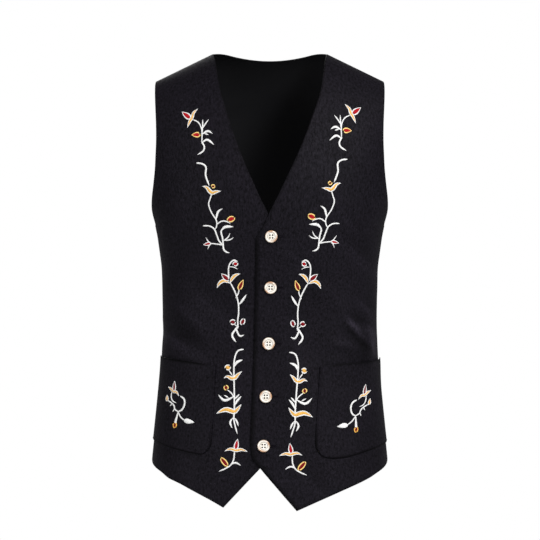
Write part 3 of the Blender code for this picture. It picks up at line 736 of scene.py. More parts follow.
def side_edge(side, corner, columns_below, armhole_points, columns_above, behind=False):
    """Places up a side seam and round the armhole to the shoulder tip."""
    share = np.linspace(1.0, 0.0, STEPS_PER_SPAN + 1)
    foot = corner - UNDERARM
    turn = seam_turn(side, UNDERARM + share * foot, behind)
    seam = np.column_stack((unwrapped(turn) if behind else turn, share * foot))
    foot_turn, foot_climb = ARMHOLE_FOOT
    beside = side * (QUARTER + math.radians(foot_turn) * (1 if behind else -1))
    start = ((float(unwrapped(beside)) if behind else beside, foot_climb),)
    tip_turn, tip_climb = shoulder_place(side * SHOULDER_TIP, behind)
    tip = ((float(unwrapped(tip_turn) if behind else tip_turn), float(tip_climb)),)
    holes = seen([(side * x, height) for x, height in armhole_points], behind)
    armhole = np.vstack((seam[-1:], start, holes, tip))
    return np.vstack((spaced(seam, columns_below), spaced(smooth_line(armhole), columns_above)[1:]))


def front_places(outline, side):
    """Places over one front, from the hem to the shoulder and from the front edge to the side."""
    columns, rows_below, rows_above = FRONT_GRID
    cutaway = smooth_line(seen(outline["cutaway"]))
    edge = smooth_line(seen(outline["front_edge"]))
    neck_point = np.array([shoulder_place(side * NECK_HALF)])
    neckline = smooth_line(np.vstack((seen(outline["neckline"]), neck_point)))
    inner = np.vstack((spaced(np.vstack((cutaway, edge[1:])), rows_below), spaced(neckline, rows_above)[1:]))
    corner = outline["side_corner"]
    outer = side_edge(side, corner, rows_below, FRONT_ARMHOLE, rows_above)
    hem = smooth_line(np.vstack((seen(outline["hem"]), outer[:1])))
    shoulder = np.column_stack(shoulder_place(side * np.linspace(NECK_HALF, SHOULDER_TIP, columns + 1)))
    return patch(inner, outer, spaced(hem, columns), shoulder)


def back_neck_place(angle):
    """Turn and climb on the back's neckline, half an oval as seen from above: 0 at the left neck point."""
    x, behind = NECK_HALF * np.cos(angle), NECK_BACK_DEPTH * np.sin(angle)
    turn, climb = shoulder_place(x, True)
    _, ahead = squared_circle(turn, GIRTH_POWER)
    left = behind / (table_value(CHEST, 3, 1.0) * np.abs(ahead))
    rise = (1 - left**BLADE_POWER) ** (1 / BLADE_POWER)
    return turn, np.minimum(CHEST_CLIMB * np.arctan2(rise, left) / QUARTER, climb)


def back_places():
    """Places over the back, from the wearer's left side seam round to the right one."""
    columns, rows_below, rows_above = BACK_GRID
    left_edge = side_edge(1, LEFT_FRONT["side_corner"], rows_below, BACK_ARMHOLE, rows_above, True)
    right_edge = side_edge(-1, RIGHT_FRONT["side_corner"], rows_below, BACK_ARMHOLE, rows_above, True)
    hem = BACK_HEM + tuple((-x, height) for x, height in BACK_HEM[-2::-1])
    foot = smooth_line(np.vstack((left_edge[:1], seen(hem, True), right_edge[:1])))
    neck_columns = columns - 2 * SHOULDER_COLUMNS
    shoulder = np.linspace(SHOULDER_TIP, NECK_HALF, SHOULDER_COLUMNS, endpoint=False)
    tops = (
        shoulder_place(shoulder, True),
        back_neck_place(np.linspace(0.0, math.pi, neck_columns + 1)),
        shoulder_place(-shoulder[::-1], True),
    )
    top = np.vstack([np.column_stack((unwrapped(turn), climb)) for turn, climb in tops])
    return evened(patch(left_edge, right_edge, spaced(foot, columns), top))


def pocket_places(outline, side):
    """Places over one patch pocket, whose outer edge is caught in the side seam."""
    columns, rows = POCKET_GRID
    heights = (outline["top_at_seam"], outline["bottom_at_seam"])
    corners = [(float(seam_turn(side, height)), height - UNDERARM) for height in heights]
    top = smooth_line(np.vstack((seen(outline["top"]), corners[:1])))
    bottom = smooth_line(np.vstack((seen(outline["bottom"]), corners[1:])))
    inner = smooth_line(seen(outline["inner"][::-1]))
    outer = smooth_line(corners[::-1])
    return patch(spaced(inner, rows), spaced(outer, rows), spaced(bottom, columns), spaced(top, columns))


def border_of(rows, columns):
    """The grid's border spots in order, as row and column numbers."""
    row = [0] * columns + list(range(rows)) + [rows] * columns + list(range(rows, 0, -1))
    column = list(range(columns)) + [columns] * rows + list(range(columns, 0, -1)) + [0] * rows
    return np.array(row), np.array(column)


def add_piece(name, points, faces, materials, indices=None, maps=()):
    """A closed object from points in millimetres. Each of maps is a flat map's name and its places."""
    mesh = bpy.data.meshes.new(name)
    mesh.from_pydata((points * MM).tolist(), [], faces)
    for material in materials:
        mesh.materials.append(material)
    if indices is not None:
        mesh.polygons.foreach_set("material_index", np.asarray(indices, np.int32))
    spots = np.zeros(len(mesh.loops), np.int32)
    mesh.loops.foreach_get("vertex_index", spots)
    for label, flat in maps:
        layer = mesh.uv_layers.new(name=label)
        layer.uv.foreach_set("vector", flat[spots].astype(np.float32).ravel())
    solid = bmesh.new()
    solid.from_mesh(mesh)
    if solid.calc_volume(signed=True) < 0:
        bmesh.ops.reverse_faces(solid, faces=solid.faces)
        solid.to_mesh(mesh)
    solid.free()
    mesh.shade_smooth()
    piece = bpy.data.objects.new(name, mesh)
    bpy.context.scene.collection.objects.link(piece)
    return piece


def soft_edge_shade(points, up, across):
    """Painted shade at spots round a piece's edge: light, all round."""
    return np.full(len(points), EDGE_SHADE)


def left_front_edge_shadow(points, up, across):
    """Painted shade and shadow, darkest where the left front lies over the right one and down its cutaway."""
    lower = eased((OVERLAP_SHADOW_TOP - points[:, 2]) / OVERLAP_SHADOW_EASE)
    return EDGE_SHADE + OVERLAP_SHADOW * (across == 0) * lower


def pocket_edge_shade(points, up, across):
    """Painted shade and shadow: darkest along the bottom and round the corner, dark at the mouth and light up
    the sides.
    """
    on_right = points[:, 0] < 0
    lower = eased((CORNER_SHADOW_TOP - points[:, 2]) / CORNER_SHADOW_EASE)
    corner = np.where(on_right, *POCKET_SIDE_SHADE) + CORNER_SHADOW * (across == 0) * lower
    mouth = np.where(on_right, *POCKET_MOUTH_SHADE) * (up == 1) * (across < 1)
    mouth = mouth * eased(across / MOUTH_SHADE_EASE)
    return np.maximum(np.maximum(corner, mouth), 1.0 * (up == 0))


def cloth_shell(name, places, wall, face, lift=no_lift, edges=soft_edge_shade):
    """A closed wall of cloth over a grid of places, with round turned edges. Its map "edge" holds the painted
    shade along the edges at each point, and the painted light and shade of a fold's flank there by how far it
    faces the key light."""
    turn, climb = places[..., 0], places[..., 1]
    rows, columns = turn.shape[0] - 1, turn.shape[1] - 1
    half = wall / 2
    normal = outward(turn, climb)
    outer = cloth_points(turn, climb, lift(turn, climb))
    inner = outer - normal * wall
    row, column = border_of(rows, columns)
    middle, facing = (outer - normal * half)[row, column], normal[row, column]
    inward = np.cross(facing, np.roll(middle, -1, axis=0) - np.roll(middle, 1, axis=0))
    inward *= np.sign(np.sum(inward * (middle.mean(axis=0) - middle)))
    inward *= half / np.linalg.norm(inward, axis=1, keepdims=True)
    outer[row, column] = middle + inward + facing * half
    inner[row, column] = middle + inward - facing * half
    angles = np.linspace(0.0, math.pi, RIM_STEPS + 1)[1:-1, None, None]
    rim = middle + inward * (1 - np.sin(angles)) + facing * half * np.cos(angles)

    spots = np.arange(turn.size).reshape(turn.shape)
    corners = (spots[:-1, :-1], spots[:-1, 1:], spots[1:, 1:], spots[1:, :-1])
    squares = np.stack(corners, axis=-1).reshape(-1, 4)
    loops = [spots[row, column]]
    loops += [2 * turn.size + step * len(row) + np.arange(len(row)) for step in range(RIM_STEPS - 1)]
    loops.append(spots[row, column] + turn.size)
    bands = [np.stack((np.roll(a, -1), a, b, np.roll(b, -1)), axis=-1) for a, b in zip(loops, loops[1:])]
    faces = np.vstack([squares, squares[:, ::-1] + turn.size] + bands)
    indices = np.zeros(len(faces), np.int32)
    indices[len(squares) : 2 * len(squares)] = 1
    points = np.vstack((outer.reshape(-1, 3), inner.reshape(-1, 3), rim.reshape(-1, 3)))
    flat = np.stack((turn * GIRTH_RADIUS, climb), axis=-1) * MM
    border_flat = np.tile(flat[row, column], (RIM_STEPS - 1, 1))
    flat = np.vstack((flat.reshape(-1, 2), flat.reshape(-1, 2), border_flat))
    # Painted shade along the edges, spread a little into the next row in
    edge_shading = edges(outer[row, column], row / rows, column / columns)
    grid = np.zeros(turn.shape)
    grid[row, column] = edge_shading
    for lines in (grid, grid[::-1], grid.T, grid.T[::-1]):
        lines[1, 1:-1] = np.maximum(lines[1, 1:-1], NEXT_ROW_SHADE * lines[0, 1:-1])
    # Painted light and shade on folds: lighter on a flank that faces the key light, darker on one that faces
    # away
    plain, step = body_points(turn, climb), np.array(KEY_LIGHT_STEP)
    facing_key_light = (fold_rise(plain - step) - fold_rise(plain + step)) / (2 * np.linalg.norm(step))
    facing_key_light = np.where(facing_key_light < 0, SHADED_FLANK_SHARE * facing_key_light, facing_key_light)
    dark = np.zeros((len(points), 2))
    dark[: turn.size] = np.stack((grid.ravel(), facing_key_light.ravel()), axis=-1)
    around = np.stack((edge_shading, facing_key_light[row, column]), axis=-1)
    dark[np.concatenate(loops[1:])] = np.tile(around, (len(loops) - 1, 1))
    maps = (("cloth", flat), ("edge", dark))
    return add_piece(name, points, faces.tolist(), (face, INNER_FACE), indices, maps)


def cut_with(piece, solid_data):
    """Cut a solid's whole volume out of a piece, and keep the piece's mesh."""
    mesh = bpy.data.meshes.new(piece.name + "_cut")
    solid_data.to_mesh(mesh)
    solid_data.free()
    tool = bpy.data.objects.new(piece.name + "_cut", mesh)
    bpy.context.scene.collection.objects.link(tool)
    modifier = piece.modifiers.new("cut", "BOOLEAN")
    modifier.operation = "DIFFERENCE"
    modifier.object = tool
    whole = piece.data
    graph = bpy.context.evaluated_depsgraph_get()
    piece.data = bpy.data.meshes.new_from_object(piece.evaluated_get(graph))
    piece.modifiers.clear()
    piece.data.name = piece.name
    bpy.data.meshes.remove(whole)
    bpy.data.objects.remove(tool)
    bpy.data.meshes.remove(mesh)


def add_prism(solid, outline, low, high, placing):
    """A closed straight-sided solid over a flat outline, in millimetres about a placing in metres."""
    rings = []
    for z in (low, high):
        corners = [placing @ Vector((x * MM, y * MM, z * MM)) for x, y in outline]
        rings.append([solid.verts.new(corner) for corner in corners])
    solid.faces.new(rings[0][::-1])
    solid.faces.new(rings[1])
    for spot in range(len(outline)):
        after = (spot + 1) % len(outline)
        solid.faces.new((rings[0][spot], rings[0][after], rings[1][after], rings[1][spot]))


def circle(radius, sides, middle=(0.0, 0.0)):
    """Points evenly round a circle about its middle."""
    angles = [2 * math.pi * n / sides for n in range(sides)]
    return [(middle[0] + radius * math.cos(angle), middle[1] + radius * math.sin(angle)) for angle in angles]


def upright_on(turn, climb, lift):
    """The placing whose Z is the cloth's outward direction and whose Y is the most upright one."""
    point = Vector(cloth_points(turn, climb, lift))
    normal = Vector(outward(turn, climb))
    across = Vector((0, 0, 1)).cross(normal).normalized()
    placing = Matrix((across, normal.cross(across), normal)).transposed().to_4x4()
    placing.translation = point * MM
    return placing


def slit_outline():
    """The buttonhole: round and widest at the shank, its lips almost closed past the button."""
    wide, narrow, far = SLIT_WIDE / 2, SLIT_NARROW / 2, SLIT_LENGTH - SLIT_BEFORE
    round_end = [(SLIT_BEFORE * along, wide * out) for along, out in SLIT_ROUND]
    upper = [(far, narrow), (SLIT_CLOSED, narrow)] + round_end
    return [(x, -y) for x, y in upper[::-1]] + upper


def threads(name, first, last, colours, lift, materials, puff=1.0):
    """One mesh of arched threads, each a closed strand between its two places on the cloth."""
    share = np.array(RING_PLACES)[None, :, None]
    places = first[:, None] * (1 - share) + last[:, None] * share
    turn, climb = places[..., 0], places[..., 1]
    normal = outward(turn, climb)
    surface = cloth_points(turn, climb, lift(turn, climb))
    along = surface[:, -1] - surface[:, 0]
    span = np.linalg.norm(along, axis=1)
    rise = THREAD_BASE + np.minimum(PUFF * span, PUFF_MOST)[:, None] * np.array(RING_PUFFS) * puff
    rise[:, [0, -1]] = -ENDS_SINK
    centre = surface + normal * rise[..., None]
    aside = np.cross(normal, along[:, None])
    aside /= np.linalg.norm(aside, axis=-1, keepdims=True)
    ring = np.array(RING)
    wide = THREAD_HALF * np.array(RING_WIDTHS)[None, :, None, None] * ring[:, :1]
    deep = THREAD_DEPTH * ring[:, 1:]
    points = centre[:, :, None] + aside[:, :, None] * wide + normal[:, :, None] * deep
    strands, rings, corners = points.shape[:3]
    spots = np.arange(strands * rings * corners).reshape(strands, rings, corners)
    lower, upper = spots[:, :-1], spots[:, 1:]
    sides = np.stack((lower, np.roll(lower, -1, axis=2), np.roll(upper, -1, axis=2), upper), axis=-1)
    faces = np.concatenate((sides.reshape(strands, -1, 4), spots[:, :1, ::-1], spots[:, -1:]), axis=1)
    flat = np.zeros(points.shape[:3] + (2,))
    flat[..., 0] = span[:, None, None] * np.array(RING_PLACES)[None, :, None] * MM
    flat[..., 1] = np.arange(strands)[:, None, None] * MM
    indices = np.repeat(colours, faces.shape[1])
    maps = (("thread", flat.reshape(-1, 2)),)
    return add_piece(name, points.reshape(-1, 3), faces.reshape(-1, 4).tolist(), materials, indices, maps)


def half_widths(kind, share, width, length):
    """Half the width of a stitched shape at shares of its length."""
    half, share = width / 2, np.clip(share, 0.0, 1.0)
    if kind == "stem":
        from_foot = STEM_FOOT + share * length / STEM_FOOT_EASE
        from_tip = STEM_TIP + (1 - share) * length / STEM_TIP_EASE
        return half * np.clip(np.minimum(from_foot, from_tip), 0.0, 1.0)
    if kind == "drop":
        return half * (DROP_START + (1 - DROP_START) * share)
    if kind in ("leaf", "calyx"):
        return half * np.sin(np.pi * share) ** LEAF_POWER
    if kind == "bud":
        return half * np.sin(np.pi * share**BUD_LEAN) ** BUD_POWER
    return half * np.sqrt(1 - (2 * share - 1) ** 2)


def shape_stitches(kind, edge, filling, width, rows, chance):
    """The threads of one shape: the colour and both ends of each, as they are seen from the front."""
    line = smooth_line(rows)
    solid = body_points(*from_front(line[:, 0], line[:, 1]))
    length = np.linalg.norm(np.diff(solid, axis=0), axis=1).sum()
    count = max(LEAST_STITCHES, round(length / STITCH_PITCH))
    middle = even_steps(line, solid, LINE_STEPS * count)
    ahead = np.gradient(middle, axis=0)
    ahead /= np.linalg.norm(ahead, axis=1, keepdims=True)
    shares = np.linspace(0.0, 1.0, len(middle))
    share = (np.arange(count) + 0.5) / count
    rim = min(EDGE_WIDTH, EDGE_SHARE * width)
    tip = min(rim * (TIP_TIMES if kind == "calyx" else 1.0), TIP_SHARE * length)

    def half_at(at):
        return half_widths(kind, at, width, length)

    def inside_at(at):
        """Half the width of the filling, which stops short of both tips."""
        shrunk = (at * length - tip) / (length - 2 * tip)
        narrow = half_widths(kind, shrunk, width - 2 * rim, length) * (shrunk > 0) * (shrunk < 1)
        narrow = np.minimum(narrow, half_at(at) - EDGE_LEAST)
        return np.where(narrow > FILL_LEAST, narrow, 0.0)

    def beside(at, reach, slant):
        """Spots beside the shape's middle, as far as reach says at each share, slanting ahead or back."""
        at = np.clip(at + slant * SLANT * half_at(at) / length, 0.0, 1.0)
        spot = np.column_stack([np.interp(at, shares, column) for column in middle.T])
        way = [np.interp(at, shares, column) for column in ahead.T]
        off = reach(at) + chance.uniform(-UNEVEN, UNEVEN, len(at))
        return spot + np.column_stack((-way[1], way[0])) * off[:, None]

    def rim_start(at):
        return -half_at(at)

    def fill_start(at):
        return -inside_at(at)

    def rim_meets(at):
        return EDGE_MEETS * inside_at(at)

    def rim_meets_start(at):
        return -rim_meets(at)

    if filling is None:
        return [(edge, beside(share, rim_start, -1), beside(share, half_at, 1))]
    plain, split = share[inside_at(share) == 0], share[inside_at(share) > 0]
    return [
        (edge, beside(plain, rim_start, -1), beside(plain, half_at, 1)),
        (edge, beside(split, rim_start, SPLIT_SLANT), beside(split, rim_meets_start, 0)),
        (edge, beside(split, half_at, SPLIT_SLANT), beside(split, rim_meets, 0)),
        (filling, beside(split, fill_start, -SPLIT_SLANT), beside(split, inside_at, SPLIT_SLANT)),
    ]


def sprig_rows(sprig, points, side):
    """Points of a shape on one side of the waistcoat, as seen from the front: x and height."""
    out, height = np.array(points, float).T
    if side > 0:
        (top, out_top, up_top), (foot, out_foot, up_foot) = LEFT_SHIFTS[sprig]
        out = out + np.interp(height, (foot, top), (out_foot, out_top))
        height = height + np.interp(height, (foot, top), (up_foot, up_top))
    return np.column_stack((MIRROR_X + side * out, height))


def shown_places(spots, lift):
    """Turn and climb of the lifted and folded cloth that shows at x and height from the front."""
    moved = cloth_points(*from_front(*spots.T), lift(*from_front(*spots.T)))[:, [0, 2]] - spots
    return np.column_stack(from_front(*(spots - moved).T))


def embroider(name, sprigs, side, lift, seed):
    """The stitched shapes of some sprigs on one side, as one piece."""
    chance = np.random.RandomState(seed)
    found = []
    for sprig in sprigs:
        for kind, edge, filling, width, points in SPRIGS[sprig]:
            rows = sprig_rows(sprig, points, side)
            found += shape_stitches(kind, edge, filling, width, rows, chance)
    counts = [len(row[1]) for row in found]
    colours = np.repeat([THREAD_COLOURS.index(row[0]) for row in found], counts)
    first = shown_places(np.vstack([row[1] for row in found]), lift)
    last = shown_places(np.vstack([row[2] for row in found]), lift)
    return threads(name, first, last, colours, lift, list(THREADS.values()))


# Finishes

# The cloth's noises: specks to the metre across and along it, and their detail
STREAKS = (420.0, 170.0, 3.0)
FINE_NAP = (900.0, 420.0, 2.0)
MOTTLE = (320.0, 250.0, 3.0)
BROAD_DYE = (24.0, 14.0, 2.0)
RIB = (2600.0, 60.0, 1.0)
# The shares of streaks, fine nap and mottle in the nap, and the rib's height beside it
STREAK_SHARE = 0.35
FINE_SHARE = 0.35
MOTTLE_SHARE = 0.3
RIB_HEIGHT = 0.4
# The least that the nap and a fold's painted light and shade leave of the dye's shade, how much the
# painted shade of a fully shaded edge takes of it, and how much smoother the lightest streaks are
NAP_LEAST = 0.2
FOLD_LEAST = 0.25
EDGE_SHADE_DARKENS = 0.9
STREAK_POLISH = 0.1
# A thread's plies: millimetres from one to the next and from their tops to their feet, how much painted
# light and shade they put along it, and how much rougher the lightest strands are
PLY_LENGTH = 0.7
PLY_RELIEF = 0.05
PLY_PAINTED_SHADE = 0.05
STRAND_ROUGHENS = 0.2


def add_node(tree, kind, **settings):
    """A node with its settings, each an input's value or a property."""
    node = tree.nodes.new(kind)
    for key, value in settings.items():
        if key in node.inputs:
            node.inputs[key].default_value = value
        else:
            setattr(node, key.lower(), value)
    return node


def new_group(name, inputs, outputs):
    """A shader node group with named inputs, each with its first value, and named outputs."""
    group = bpy.data.node_groups.new(name, "ShaderNodeTree")
    for label, kind, value in inputs:
        socket = group.interface.new_socket(label, in_out="INPUT", socket_type="NodeSocket" + kind)
        socket.default_value = value
    for label, kind in outputs:
        group.interface.new_socket(label, in_out="OUTPUT", socket_type="NodeSocket" + kind)
    return group, group.nodes.new("NodeGroupInput"), group.nodes.new("NodeGroupOutput")


def math_node(tree, operation, first, second=0.0, third=0.0, clamp=False):
    """One sum of two or three values, each a number or an output."""
    node = tree.nodes.new("ShaderNodeMath")
    node.operation = operation
    node.use_clamp = clamp
    for socket, value in zip(node.inputs, (first, second, third)):
        if isinstance(value, (int, float)):
            socket.default_value = value
        else:
            tree.links.new(value, socket)
    return node.outputs[0]


def stretched_noise(tree, place, across, along, detail):
    """Noise over a map, with this many specks to the metre across and along the cloth."""
    mapping = tree.nodes.new("ShaderNodeMapping")
    tree.links.new(place, mapping.inputs["Vector"])
    mapping.inputs["Scale"].default_value = (across, along, 1.0)
    noise = tree.nodes.new("ShaderNodeTexNoise")
    noise.noise_dimensions = "2D"
    noise.inputs["Scale"].default_value = 1.0
    noise.inputs["Detail"].default_value = detail
    noise.inputs["Roughness"].default_value = 0.6
    tree.links.new(mapping.outputs["Vector"], noise.inputs["Vector"])
    return noise.outputs["Fac"]


def scale_colour(group, given, made, shade):
    """The group's colour goes out as it came in, times a shade."""
    colour = add_node(group, "ShaderNodeVectorMath", operation="SCALE")
    group.links.new(given.outputs["Colour"], colour.inputs[0])
    group.links.new(shade, colour.inputs["Scale"])
    group.links.new(colour.outputs[0], made.inputs["Colour"])


def brushed_cloth_group():
    """Upright streaks of brushed nap over a fine rib, with a broad unevenness of the dye. Painted light on
    the flank of a fold that faces the key light and painted shade on the other, and painted shade along the
    edges."""
    group, given, made = new_group(
        "brushed_cloth",
        (
            ("Colour", "Color", (0.012, 0.011, 0.014, 1.0)),
            ("Streaks", "Float", 0.5),
            ("Roughness", "Float", 0.8),
            ("Unevenness", "Float", 0.15),
            ("Fold painted light", "Float", 0.0),
        ),
        (("Colour", "Color"), ("Roughness", "Float"), ("Height", "Float")),
    )
    place = add_node(group, "ShaderNodeUVMap", uv_map="cloth").outputs["UV"]
    kinds = (STREAKS, FINE_NAP, MOTTLE, BROAD_DYE, RIB)
    streaks, fine, mottle, broad, rib = [stretched_noise(group, place, *kind) for kind in kinds]
    nap = math_node(group, "MULTIPLY", streaks, STREAK_SHARE)
    nap = math_node(group, "MULTIPLY_ADD", fine, FINE_SHARE, nap)
    nap = math_node(group, "MULTIPLY_ADD", mottle, MOTTLE_SHARE, nap)
    swing = math_node(group, "MULTIPLY", math_node(group, "SUBTRACT", nap, 0.5), given.outputs["Streaks"])
    slow = math_node(group, "MULTIPLY", math_node(group, "SUBTRACT", broad, 0.5), given.outputs["Unevenness"])
    shade = math_node(group, "ADD", math_node(group, "ADD", swing, slow), 1.0)
    shade = math_node(group, "MAXIMUM", shade, NAP_LEAST)
    # Painted shade along the edges, from the first value of the map "edge"
    edge = group.nodes.new("ShaderNodeSeparateXYZ")
    group.links.new(add_node(group, "ShaderNodeUVMap", uv_map="edge").outputs["UV"], edge.inputs[0])
    kept = math_node(group, "MULTIPLY_ADD", edge.outputs["X"], -EDGE_SHADE_DARKENS, 1.0, clamp=True)
    # Painted light and shade on fold flanks, from the second value of the map "edge"
    folded = math_node(group, "MULTIPLY_ADD", edge.outputs["Y"], given.outputs["Fold painted light"], 1.0)
    shade = math_node(group, "MULTIPLY", shade, math_node(group, "MAXIMUM", folded, FOLD_LEAST))
    scale_colour(group, given, made, math_node(group, "MULTIPLY", shade, kept))
    rough = math_node(group, "MULTIPLY_ADD", swing, -STREAK_POLISH, given.outputs["Roughness"], clamp=True)
    group.links.new(rough, made.inputs["Roughness"])
    group.links.new(math_node(group, "MULTIPLY_ADD", rib, RIB_HEIGHT, nap), made.inputs["Height"])
    return group


def stitched_thread_group():
    """Twisted thread: each strand a little lighter or darker, with slanting plies along it in relief and in
    painted light and shade.
    """
    group, given, made = new_group(
        "stitched_thread",
        (
            ("Colour", "Color", (0.8, 0.78, 0.74, 1.0)),
            ("Difference", "Float", 0.2),
            ("Roughness", "Float", 0.45),
        ),
        (("Colour", "Color"), ("Roughness", "Float"), ("Height", "Float")),
    )
    place = add_node(group, "ShaderNodeUVMap", uv_map="thread").outputs["UV"]
    parts = group.nodes.new("ShaderNodeSeparateXYZ")
    group.links.new(place, parts.inputs[0])
    strand = math_node(group, "ROUND", math_node(group, "MULTIPLY", parts.outputs["Y"], 1 / MM))
    chance = group.nodes.new("ShaderNodeTexWhiteNoise")
    chance.noise_dimensions = "1D"
    group.links.new(strand, chance.inputs["W"])
    own = math_node(group, "SUBTRACT", chance.outputs["Value"], 0.5)
    shade = math_node(group, "MULTIPLY_ADD", own, given.outputs["Difference"], 1.0)
    turns = math_node(group, "MULTIPLY", parts.outputs["X"], 2 * math.pi / (PLY_LENGTH * MM))
    twist = math_node(group, "SINE", turns)
    # Painted light and shade along the plies
    scale_colour(group, given, made, math_node(group, "MULTIPLY_ADD", twist, PLY_PAINTED_SHADE, shade))
    rough = math_node(group, "MULTIPLY_ADD", own, STRAND_ROUGHENS, given.outputs["Roughness"])
    group.links.new(rough, made.inputs["Roughness"])
    group.links.new(math_node(group, "MULTIPLY_ADD", twist, 0.5, 0.5), made.inputs["Height"])
    return group


def new_material(name, **values):
    """A material, with the plain values of its shader."""
    material = bpy.data.materials.new(name)
    material.use_nodes = True
    shader = material.node_tree.nodes["Principled BSDF"]
    for key, value in values.items():
        shader.inputs[key.replace("_", " ")].default_value = value
    return material


def grouped_material(name, group, settings, relief, **values):
    """A material whose colour, roughness and relief come from a shared group."""
    material = new_material(name, **values)
    tree = material.node_tree
    shader = tree.nodes["Principled BSDF"]
    node = tree.nodes.new("ShaderNodeGroup")
    node.node_tree = group
    for key, value in settings.items():
        node.inputs[key].default_value = value
    bump = tree.nodes.new("ShaderNodeBump")
    bump.inputs["Strength"].default_value = 1.0
    bump.inputs["Distance"].default_value = relief * MM
    tree.links.new(node.outputs["Height"], bump.inputs["Height"])
    tree.links.new(node.outputs["Colour"], shader.inputs["Base Color"])
    tree.links.new(node.outputs["Roughness"], shader.inputs["Roughness"])
    tree.links.new(bump.outputs["Normal"], shader.inputs["Normal"])
    return material


# The buttons' colours
CREAM = (0.8, 0.74, 0.64)
PALE_CREAM = (0.93, 0.91, 0.85)
TAN = (0.45, 0.2, 0.07)
# These two are painted shade: in the groove round the recess and round the outer edge
RECESS_PAINTED_SHADE = (0.16, 0.13, 0.1)
RIM_PAINTED_SHADE = (0.34, 0.2, 0.11)
# Noises over a button: specks to the metre, and their detail
CREAM_CLOUDS = (260.0, 2.0)
TAN_PATCHES = (95.0, 1.5)
POLISH_MARKS = (500.0, 2.0)
# The noise's values between which the clouds and the patches come up
CLOUDS_FROM = (0.35, 0.65)
PATCHES_FROM = (0.42, 0.72)
# Millimetres from the middle between which the tan comes up, the painted shade in the recess's groove
# starts and ends, and the painted shade darkens the outer edge
TAN_RADII = (3.6, 8.4)
LINE_STARTS = (4.8, 5.1)
LINE_ENDS = (5.4, 5.9)
OUTER_RADII = (7.9, 8.7)
# How strong the painted shade in the groove and round the outer edge is, and the least and the swing of the
# polish's roughness
LINE_SHARE = 0.6
OUTER_SHARE = 0.75
POLISH_LEAST = 0.2
POLISH_SWING = 0.16


def button_material():
    """Polished cream, faintly clouded, softly tanned towards the rim, with painted shade as a dark line in
    the groove round the recess and as a tan-brown darkening round the outer edge.
    """
    material = new_material(
        "mottled_cream_button",
        Coat_Weight=0.35,
        Coat_Roughness=0.12,
        Specular_IOR_Level=0.5,
    )
    tree = material.node_tree
    shader = tree.nodes["Principled BSDF"]
    place = tree.nodes.new("ShaderNodeTexCoord").outputs["Object"]
    parts = tree.nodes.new("ShaderNodeSeparateXYZ")
    tree.links.new(place, parts.inputs[0])
    squares = [math_node(tree, "MULTIPLY", parts.outputs[axis], parts.outputs[axis]) for axis in "XY"]
    radius = math_node(tree, "SQRT", math_node(tree, "ADD", *squares))

    def cloud(scale, detail):
        """Noise through the button."""
        noise = tree.nodes.new("ShaderNodeTexNoise")
        noise.inputs["Scale"].default_value = scale
        noise.inputs["Detail"].default_value = detail
        tree.links.new(place, noise.inputs["Vector"])
        return noise.outputs["Fac"]

    def between(value, low, high):
        """0 below one value and 1 above another."""
        node = tree.nodes.new("ShaderNodeMapRange")
        node.interpolation_type = "SMOOTHSTEP"
        node.inputs["From Min"].default_value = low
        node.inputs["From Max"].default_value = high
        tree.links.new(value, node.inputs["Value"])
        return node.outputs["Result"]

    def over_radii(low, high):
        """0 nearer the middle than one radius in millimetres and 1 farther from it than another."""
        return between(radius, low * MM, high * MM)

    def mixed(share, first, second):
        """One colour or the other by a share from 0 to 1."""
        node = tree.nodes.new("ShaderNodeMix")
        node.data_type = "RGBA"
        tree.links.new(share, node.inputs["Factor"])
        for socket, value in ((node.inputs[6], first), (node.inputs[7], second)):
            if isinstance(value, tuple):
                socket.default_value = (*value, 1.0)
            else:
                tree.links.new(value, socket)
        return node.outputs[2]

    clouded = mixed(between(cloud(*CREAM_CLOUDS), *CLOUDS_FROM), CREAM, PALE_CREAM)
    patches = between(cloud(*TAN_PATCHES), *PATCHES_FROM)
    tanned = mixed(math_node(tree, "MULTIPLY", patches, over_radii(*TAN_RADII)), clouded, TAN)
    # Painted shade: a dark ring in the groove round the recess, and a tan-brown darkening round the outer
    # edge
    line = math_node(tree, "SUBTRACT", over_radii(*LINE_STARTS), over_radii(*LINE_ENDS))
    lined = mixed(math_node(tree, "MULTIPLY", line, LINE_SHARE), tanned, RECESS_PAINTED_SHADE)
    outer_edge = math_node(tree, "MULTIPLY", over_radii(*OUTER_RADII), OUTER_SHARE)
    tree.links.new(mixed(outer_edge, lined, RIM_PAINTED_SHADE), shader.inputs["Base Color"])
    polish = math_node(tree, "MULTIPLY_ADD", cloud(*POLISH_MARKS), POLISH_SWING, POLISH_LEAST)
    tree.links.new(polish, shader.inputs["Roughness"])
    return material


BRUSHED = brushed_cloth_group()
STITCHED = stitched_thread_group()


def cloth_material(name, colour, streaks, roughness, unevenness, fold_painted_light, relief, shine):
    """A cloth's finish. Its relief is in millimetres."""
    settings = {
        "Colour": (*colour, 1.0),
        "Streaks": streaks,
        "Roughness": roughness,
        "Unevenness": unevenness,
        "Fold painted light": fold_painted_light,
    }
    return grouped_material(name, BRUSHED, settings, relief, Specular_IOR_Level=shine)


def thread_material(name, colour, difference, roughness=0.45, shine=0.4):
    """A thread's finish."""
    settings = {"Colour": (*colour, 1.0), "Difference": difference, "Roughness": roughness}
    return grouped_material(name, STITCHED, settings, PLY_RELIEF, Specular_IOR_Level=shine)


BLACK_CLOTH = cloth_material(
    "black_brushed_cloth", (0.007, 0.006, 0.0087), 5.0, 0.62, 0.5, 3.4, relief=0.12, shine=0.05
)
BACK_CLOTH = cloth_material(
    "black_smooth_back", (0.006, 0.006, 0.0075), 0.4, 0.5, 0.15, 1.2, relief=0.04, shine=0.16
)
INNER_FACE = cloth_material(
    "black_inner_face", (0.006, 0.006, 0.007), 0.4, 0.6, 0.15, 0.0, relief=0.04, shine=0.12
)


